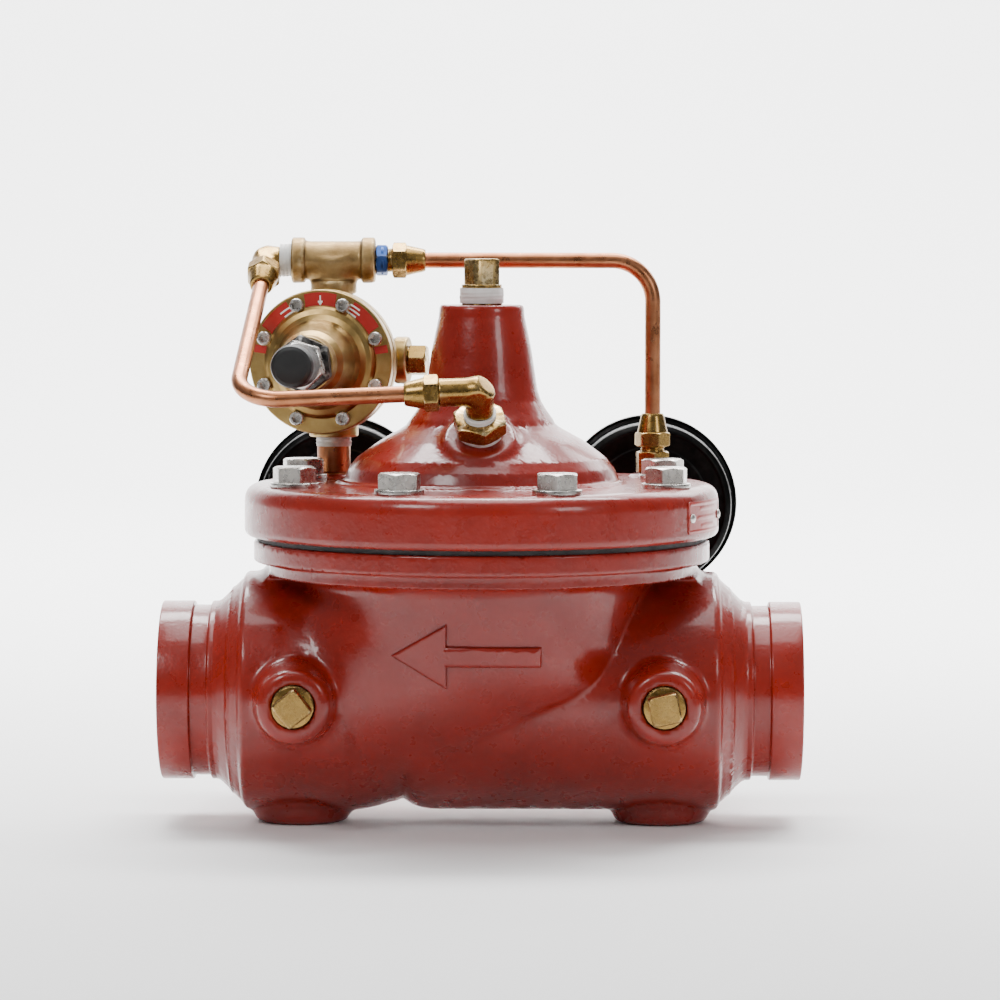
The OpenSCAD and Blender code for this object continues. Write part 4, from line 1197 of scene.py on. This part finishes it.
def make_nipples():
    low, high = extent("pilot_outlet_nipple", 2)
    lower = threaded_pipe(8.5, 6.2, low, high, 14).placed(shifted(PILOT[0], PILOT[1], 0))
    piece("pilot_nipple", lower, "copper", "pilot_outlet_nipple", sharp=50)
    low, high = extent("tee_nipple", 2)
    upper = threaded_pipe(8.5, 6.2, low, high, 11).placed(shifted(PILOT[0], PILOT[1], 0))
    piece("tee_pipe", upper, "cast_bronze", "tee_nipple", sharp=50)


def tee_field(x, y, z):
    """A malleable tee: swept run and branch with a banded collar on each mouth."""
    run, branch = length2(y, z), length2(x, y)
    solid = smooth_max(run - 9.8, np.abs(x) - 20.9, 0.8)
    solid = smooth_min(solid, smooth_max(branch - 9.8, meet(z, -17 - z), 0.8), 4.5)
    for side in (-1, 1):
        band = smooth_max(run - 11.65, np.abs(x - side * 17.8) - 3.3, 1.1)
        solid = smooth_min(solid, band, 1.6)
    band = smooth_max(branch - 11.65, np.abs(z + 13.6) - 3.3, 1.1)
    solid = smooth_min(solid, band, 1.6)
    empty = union(meet(run - 6.9, 10 - np.abs(x)), run - 6,
                  meet(branch - 8.65, z + 9.5), meet(branch - 6, z))
    return smooth_max(solid, -empty, 0.5)


def leg_field(p, direction, reach, radius):
    """Distance to a round bar from the origin along a direction."""
    along = sum(c * d for c, d in zip(p, direction))
    across = np.sqrt(np.maximum(sum(c * c for c in p) - along ** 2, 0))
    return smooth_max(across - radius, meet(along - reach, -along), 0.8)


def elbow_shape(first, second, radius, reaches, bore, flat=0.0):
    """A forged elbow: two round legs, a ball where they meet, and a stamped flat on each cheek."""
    first, second = (np.array(d, float) / np.linalg.norm(d) for d in (first, second))
    cheek = np.cross(first, second)
    cheek /= np.linalg.norm(cheek)

    def field(x, y, z):
        p = (x, y, z)
        solid = np.sqrt(x * x + y * y + z * z) - radius - 0.3
        for direction, reach in zip((first, second), reaches):
            solid = smooth_min(solid, leg_field(p, direction, reach, radius - 0.1), 2.2)
        side = np.abs(sum(c * d for c, d in zip(p, cheek)))
        heel = sum(c * d for c, d in zip(p, -(first + second)))
        solid = smooth_max(solid, side - radius + 0.5, 0.9)
        solid = smooth_max(solid, heel - radius * 1.02, 1.2)
        empty = union(*(leg_field(p, direction, reach + 5, bore)
                        for direction, reach in zip((first, second), reaches)))
        return smooth_max(solid, -empty, 0.4)

    span = max(reaches) + radius
    return field_solid(field, (-span,) * 3, (span,) * 3, fine_or_quick(0.7), 0.03)


def flare_nut():
    """A hexagon with a long nose that closes on the tube. z = 0 is the open end."""
    hexed = hexagon(NUT_FLATS, 7.4, bore=6.3)
    nose = [(TUBE_R + 0.08, 5), (7.3, 5), (7.75, 7.2), (7.6, 8.2), (7.05, 10.5), (6.5, 13),
            (5.9, 15.6), (5.4, 16.8), (TUBE_R + 0.08, 17)]
    return hexed + turned_shape(eased_loop(nose, 0.35, 3), closed=True, segments=64)


CONTROL_CORNER = np.array([-118.5, -63.5, 146.7])
ELBOW = COVER_PORT + 22 * PORT_DIRECTION
TEE_ELBOW = np.array([-110.5, PILOT[1], TEE[2]])
DOWN_LEG = (CONTROL_CORNER - TEE_ELBOW) / np.linalg.norm(CONTROL_CORNER - TEE_ELBOW)
COVER_OUT = (CONTROL_CORNER - ELBOW) / np.linalg.norm(CONTROL_CORNER - ELBOW)
COVER_LEG = 19.5
FITTING_END = -46.5
ADAPTER_NUT_Z = 119.0
BEND_R = 21.0


def make_tee():
    tee = field_solid(tee_field, (-24, -15, -20), (24, 15, 15), fine_or_quick(0.75), 0.03)
    piece("tee_casting", tee, "cast_bronze", "tee", place=shifted(*TEE))


def make_tee_elbow():
    run = TEE[0] - 21.2 - TEE_ELBOW[0]
    corner = elbow_shape((1, 0, 0), DOWN_LEG, 7, (run - 6.2, 10), 2.9)
    piece("tee_elbow_forging", corner, "brass", "tee_elbow", place=shifted(*TEE_ELBOW))
    ends = pipe_thread(6.8, run - 7, run + 9.5).placed(axes_at(TEE_ELBOW, (1, 0, 0)))
    ends = ends + flare_thread(8, 14).placed(axes_at(TEE_ELBOW, DOWN_LEG))
    piece("tee_elbow_threads", ends, "brass", body="root")


def make_restriction():
    start = TEE[0] + 21.2
    place = axes_at((start, TEE[1], TEE[2]), (1, 0, 0))
    length = FITTING_END - 2.3 - start - 0.4
    barrel = hexagon(14.3, length).placed(shifted(0, 0, 0.4) @ turned(15))
    groove = turned_shape(eased([(0, 2), (7.5, 2), (7.5, 3.4), (0, 3.4)], 0.3)).placed(
        shifted(0, 0, length - 5))
    neck = flare_thread(length - 0.5, length + 6.8)
    piece("restriction_hex", barrel + groove, "blue_fitting", "restriction_fitting", place=place,
          bevel=0.25)
    piece("restriction_threads", neck + pipe_thread(6.8, -8.8, 0.6), "brass", body="root",
          place=place)


def make_supply_adapter():
    base, top = extent("supply_adapter", 2)
    place = shifted(SUPPLY[0], SUPPLY[1], 0)
    adapter = hexagon(NUT_FLATS, ADAPTER_NUT_Z - base - 12.5, bore=0).placed(
        shifted(0, 0, base + 10) @ turned(8))
    adapter = adapter + pipe_thread(6.7, base, base + 11)
    adapter = adapter + flare_thread(ADAPTER_NUT_Z - 3.2, top)
    piece("supply_connector", adapter, "brass", "supply_adapter", place=place, bevel=0.2)


def make_tubes():
    line = bent_line([(FITTING_END + 5, PILOT[1], TEE[2]), (SUPPLY[0], PILOT[1], TEE[2]),
                      (SUPPLY[0], PILOT[1], ADAPTER_NUT_Z + 4.6)], BEND_R)
    piece("supply_line", swept(line, TUBE_R, 28, TUBE_R - 0.9, 0.004), "copper", "supply_tube")
    line = bent_line([TEE_ELBOW + DOWN_LEG * 14.6, CONTROL_CORNER,
                      ELBOW + COVER_OUT * (COVER_LEG + 4.2)],
                     BEND_R)
    piece("control_line", swept(line, TUBE_R, 28, TUBE_R - 0.9, 0.004), "copper", "control_tube")


def make_cover_fittings():
    bush = hexagon(23.8, 8.2, bore=6.35).placed(shifted(0, 0, -2.4) @ turned(12))
    bush = bush + sleeve(8.5, 6.35, -18, -2.2)
    piece("cover_port_bush", bush, "brass", "cover_bushing", place=AT_PORT, bevel=0.25)
    body = elbow_shape(-PORT_DIRECTION, COVER_OUT, 7, (13.5, COVER_LEG), 2.9)
    piece("cover_elbow_forging", body, "brass", "cover_elbow", place=shifted(*ELBOW))
    ends = pipe_thread(6.2, -5.8, 9).placed(AT_PORT)
    ends = ends + flare_thread(COVER_LEG - 1, COVER_LEG + 3.4).placed(axes_at(ELBOW, COVER_OUT))
    piece("cover_elbow_threads", ends, "brass", body="root")


def make_flare_nuts():
    nuts = [
        flare_nut().placed(axes_at((FITTING_END, PILOT[1], TEE[2]), (1, 0, 0), (0, 1, 0))),
        flare_nut().placed(axes_at((SUPPLY[0], SUPPLY[1], ADAPTER_NUT_Z), (0, 0, 1)) @ turned(20)),
        flare_nut().placed(axes_at(TEE_ELBOW + DOWN_LEG * 10, DOWN_LEG)),
        flare_nut().placed(axes_at(ELBOW + COVER_OUT * COVER_LEG, COVER_OUT, (0, 1, 0))),
    ]
    piece("flare_nut_set", together(nuts), "brass", "flare_nuts", bevel=0.2)


# ---------- Gauges ----------

GAUGES = {"inlet": (PORT_X, -2.2), "outlet": (-PORT_X, 9.0)}
CASE_R = 43.0
GAUGE_BACK = 117.0
GAUGE_Z = 85.0


def gauge_place(station):
    """z runs out of the dial, y is down, and the origin is the middle of the case's back."""
    x, lean = GAUGES[station]
    a = math.radians(lean)
    down = np.array([-math.sin(a), 0, -math.cos(a)])
    centre = np.array([x, GAUGE_BACK, 0]) - down * GAUGE_Z
    return axes_at(centre, (0, 1, 0), np.cross(down, (0, 1, 0)))


def dial_marks(station):
    """Scale ticks and an outer arc, printed a hair proud of the dial."""
    z = 21.82
    marks = []

    def bar(angle, low, high, half):
        a = math.radians(angle)
        out, side = np.array([math.sin(a), -math.cos(a)]), np.array([math.cos(a), math.sin(a)])
        corners = [out * low - side * half, out * low + side * half,
                   out * high + side * half, out * high - side * half]
        points = [(*c, z) for c in corners] + [(*c, z + 0.06) for c in corners]
        marks.append(Shape(points, [(0, 1, 2, 3), (7, 6, 5, 4), (0, 4, 5, 1), (1, 5, 6, 2),
                                    (2, 6, 7, 3), (3, 7, 4, 0)]))

    for k in range(51):
        major = k % 10 == 0
        inner = 31 if major else 34 if k % 5 else 32.6
        bar(-135 + 270 * k / 50, inner, 37, 0.34 if major else 0.16)
    for a in np.arange(-135, 135.1, 1.5):
        bar(a, 37.0, 37.4, 0.5)
    return together(marks)


def dial_number(text, angle, radius, place, size=5.2):
    """A plain number on the dial, turned into a mesh."""
    curve = bpy.data.curves.new("number", "FONT")
    curve.body, curve.size = text, size * MM
    curve.align_x = curve.align_y = "CENTER"
    curve.extrude = 0.03 * MM
    curve.resolution_u = 3
    made = bpy.data.objects.new("number", curve)
    a = math.radians(angle)
    spot = np.array([radius * math.sin(a), -radius * math.cos(a), 21.85, 1])
    flip = np.array([[-1, 0, 0, 0], [0, -1, 0, 0], [0, 0, 1, 0], [0, 0, 0, 1.0]])
    matrix = place @ shifted(*spot[:3]) @ flip
    matrix[:3, 3] = matrix[:3, 3] * MM + STEM
    mesh = bpy.data.meshes.new_from_object(made)
    mesh.transform(Matrix(matrix.tolist()))
    bpy.data.objects.remove(made)
    return mesh


def make_gauges():
    for station in GAUGES:
        place = gauge_place(station)
        r = CASE_R
        skin = [(0, 0), (30, 0), (31, 0.5), (38.6, 0.5), (39.6, 0), (r - 2.4, 0.4),
                (r - 0.6, 1.6), (r, 3.6),
                (r, 24), (r + 2.4, 24.8), (r + 2.4, 27), (r - 1.6, 27), (r - 1.6, 1.8), (0, 1.8)]
        case = turned_shape(eased(skin, 0.7, 3), segments=128)
        vent = turned_shape(eased([(0, 0), (4, 0), (4, 0.35), (0, 0.5)], 0.3))
        piece(f"{station}_gauge_shell", case + vent.placed(shifted(0, -20, 0.2)), "black_steel",
              f"{station}_gauge_case", place=place)
        face = ring_outline(r - 2, 2, 21, 21.8, 0.2)
        piece(f"{station}_gauge_face", turned_shape(face, closed=True, segments=128),
              "dial_white", f"{station}_gauge_dial", place=place)
        marks = piece(f"{station}_gauge_scale", dial_marks(station), "pointer_black", body="root",
                      place=place)
        whole = bmesh.new()
        whole.from_mesh(marks.data)
        for k in range(6):
            number = dial_number(str(k * 50), -135 + 54 * k, 26.5, place)
            whole.from_mesh(number)
        whole.to_mesh(marks.data)
        whole.free()
        make_pointer(station, place)
    rim = [(46.4, 23.8), (46.4, 30), (45.4, 31.3), (43, 31.45), (39.8, 30.6), (39.6, 29.2),
           (45.55, 29.2), (45.55, 23.8)]
    bezel = turned_shape(eased_loop(rim, 0.5, 3), closed=True, segments=128)
    piece("gauge_bezel_pair", together(bezel.placed(gauge_place(s)) for s in GAUGES),
          "black_steel", "gauge_bezels")
    lens = turned_shape(eased([(0, 27.1), (45.3, 27.1), (45.3, 29), (0, 29)], 0.3), segments=128)
    piece("gauge_lens_pair", together(lens.placed(gauge_place(s)) for s in GAUGES), "clear_lens",
          "gauge_lenses")


def make_pointer(station, place):
    """A tapered needle with a counterweight and a domed hub, lying on its zero mark."""
    outline = [(-1.4, 2.5), (-1.1, 12), (-0.35, 33), (0.35, 33), (1.1, 12), (1.4, 2.5), (1.3, -3),
               (2.3, -11.5), (1.4, -13), (-1.4, -13), (-2.3, -11.5), (-1.3, -3)]
    n = len(outline)
    points = [(x, y, 22.7) for x, y in outline] + [(x, y, 23.3) for x, y in outline]
    faces = [tuple(range(n)), tuple(reversed(range(n, 2 * n)))]
    faces += [(k, (k + 1) % n, n + (k + 1) % n, n + k) for k in range(n)]
    blade = Shape(points, faces)
    dome = [(0, 22.65), (3.6, 22.65), (3.6, 24), (2.6, 24.6), (0, 24.8)]
    hub = turned_shape(eased(dome, 0.4), segments=48)
    at_zero = place @ turned(-45)
    piece(f"{station}_gauge_needle", blade + hub, "pointer_black", f"{station}_gauge_pointer",
          place=at_zero, bevel=0.08)


def make_gauge_fittings():
    """The nipple and bushing that carry each gauge behind its port."""
    bushings, nipples = [], []
    for x, lean in GAUGES.values():
        place = axes_at((x, PLUG_FACE, 0), (0, 1, 0)) @ turned(lean)
        bush = hexagon(22, 7, bore=6.9).placed(shifted(0, 0, 0.4)) + sleeve(10.5, 6.9, -16, 0.6)
        bushings.append(bush.placed(place))
        nipples.append(threaded_pipe(6.75, 4.6, -4, 44, 12).placed(place))
    piece("gauge_bush_pair", together(bushings), "brass", "gauge_bushings", bevel=0.2)
    piece("gauge_nipple_pair", together(nipples), "brass", "gauge_nipples", sharp=50)


# ---------- Inside parts and the rest of the CAD nodes ----------

KEPT = {
    "seat_ring": "stainless", "seat_o_ring": "rubber", "lower_bearing": "bearing_bronze",
    "stem": "stainless", "disc_guide": "bearing_bronze", "seat_disc": "rubber",
    "disc_retainer": "cast_iron_trim", "diaphragm_washer": "stainless",
    "stem_nut": "stainless", "main_spring": "spring_steel", "cover_bearing": "bearing_bronze",
    "pilot_seat": "stainless", "pilot_poppet": "stainless", "pilot_diaphragm": "rubber",
    "pilot_diaphragm_plate": "stainless", "pilot_spring": "spring_steel",
    "pilot_spring_button": "stainless", "gauge_elbows": "cast_bronze",
    "gauge_sockets": "satin_brass",
}


def make_diaphragm():
    """The main diaphragm, held at its rim and carried at its middle: a rubber copy of the CAD part
    that stays where it is.
    """
    made = link("main_diaphragm", frame["nodes"]["diaphragm"].data.copy())
    made.data.materials.clear()
    made.data.materials.append(FINISHES["rubber"])
    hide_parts("diaphragm")
    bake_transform(made)


def squash_springs():
    """The main spring bears on the cover, the pilot's on its button; each is given a mesh of its
    own and is not shortened.
    """
    low, high = (np.array(c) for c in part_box("main_spring"))
    length = high[2] - low[2]
    top = (STEM[0], 0, high[2])
    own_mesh(frame["nodes"]["main_spring"], "main_stem_slide", axis=(0, 0, 1), anchor=top,
              keep=1 - travel("main_stem_slide") / length)
    end = tuple(STEM + (PILOT + PILOT_SPRING[1] * PILOT_AXIS) * MM)
    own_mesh(frame["nodes"]["pilot_spring"], "pilot_valve_slide", axis=tuple(PILOT_AXIS),
              anchor=end,
              keep=1 - travel("pilot_valve_slide") / ((PILOT_SPRING[1] - PILOT_SPRING[0]) * MM))


# ---------- Camera, light and floor ----------

def aim(obj, origin, target):
    obj.location = origin
    obj.rotation_mode = "QUATERNION"
    obj.rotation_quaternion = (Vector(target) - Vector(origin)).to_track_quat("-Z", "Y")


LENS_MM = 156.7
CAMERA_AT = (-0.1205, -2.1624, 0.2341)
CAMERA_TURN = (0.77, 3.677, 0.067)
WALL_Y = 3.1
SWEEP_R = 0.5


def make_camera():
    """Stands where the valve is seen from the front, a little above and to its right."""
    camera = link("camera", bpy.data.cameras.new("camera"))
    camera.data.lens = LENS_MM
    camera.data.clip_end = 20
    yaw, pitch, roll = (math.radians(a) for a in CAMERA_TURN)
    camera.location = CAMERA_AT
    turn = Matrix.Rotation(yaw, 3, "Z") @ Matrix.Rotation(math.radians(90) - pitch, 3, "X")
    camera.rotation_mode = "QUATERNION"
    camera.rotation_quaternion = (turn @ Matrix.Rotation(roll, 3, "Z")).to_quaternion()
    bpy.context.scene.camera = camera


def make_floor():
    """A pale floor that sweeps up into a wall, behind every place the camera may go."""
    floor_z = FOOT_Z * MM
    mesh = bpy.data.meshes.new("floor")
    made = bmesh.new()
    sweep = [(WALL_Y - SWEEP_R + SWEEP_R * math.sin(a), SWEEP_R - SWEEP_R * math.cos(a))
             for a in np.linspace(0, math.pi / 2, 16)]
    line = [(-3.0, 0.0), *sweep, (WALL_Y, 3.6)]
    rows = [[made.verts.new((x, y, floor_z + z)) for y, z in line] for x in (-3.6, 3.4)]
    for k in range(len(line) - 1):
        made.faces.new((rows[0][k], rows[1][k], rows[1][k + 1], rows[0][k + 1]))
    made.to_mesh(mesh)
    made.free()
    mesh.shade_smooth()
    floor = link("floor", mesh)
    paper = Finish("floor_paper").set(Base_Color=(0.9, 0.9, 0.9, 1), Roughness=0.8)
    mesh.materials.append(paper.material)


def make_world():
    world = bpy.data.worlds.new("studio")
    bpy.context.scene.world = world
    world.use_nodes = True
    nodes, links = world.node_tree.nodes, world.node_tree.links
    sky = nodes["Background"]
    sky.inputs["Strength"].default_value = 0.4
    split = nodes.new("ShaderNodeSeparateXYZ")
    links.new(nodes.new("ShaderNodeTexCoord").outputs["Generated"], split.inputs[0])
    rise = nodes.new("ShaderNodeMapRange")
    for socket, value in (("From Min", -0.1), ("From Max", 0.9), ("To Min", 0.12),
                          ("To Max", 1.0)):
        rise.inputs[socket].default_value = value
    links.new(split.outputs["Z"], rise.inputs["Value"])
    links.new(rise.outputs["Result"], sky.inputs["Color"])


def make_lights():
    centre = Vector((STEM[0], 0, 0.08))
    for name, origin, target, size, power in (
        ("key", (-0.95, -1.15, 1.15), centre, 0.45, 9.5),
        ("fill", (1.0, -1.2, 0.75), centre, 0.4, 4.5),
        ("top", (-0.16, -0.1, 1.3), centre, 0.7, 8),
        ("rim", (0.55, 0.9, 0.8), centre, 0.5, 5),
        ("backdrop", (STEM[0], 1.3, 2.4), (STEM[0], WALL_Y, 0.5), 2.2, 420),
    ):
        lamp = bpy.data.lights.new(name, "AREA")
        lamp.size, lamp.energy = size, power
        aim(link(name, lamp), origin, target)


make_camera()
make_floor()
make_world()
make_lights()
make_body()
make_arrow()
make_ends()
make_cover()
make_cover_bolts()
make_plugs()
make_tape()
make_nameplate()
make_pilot_casting()
make_pilot_bonnet()
make_pilot_screws()
make_pilot_adjuster()
make_pilot_label_and_plug()
make_nipples()
make_tee()
make_tee_elbow()
make_restriction()
make_supply_adapter()
make_tubes()
make_cover_fittings()
make_flare_nuts()
make_gauges()
make_gauge_fittings()
for node, finish in KEPT.items():
    refine(node, finish)
make_diaphragm()
squash_springs()
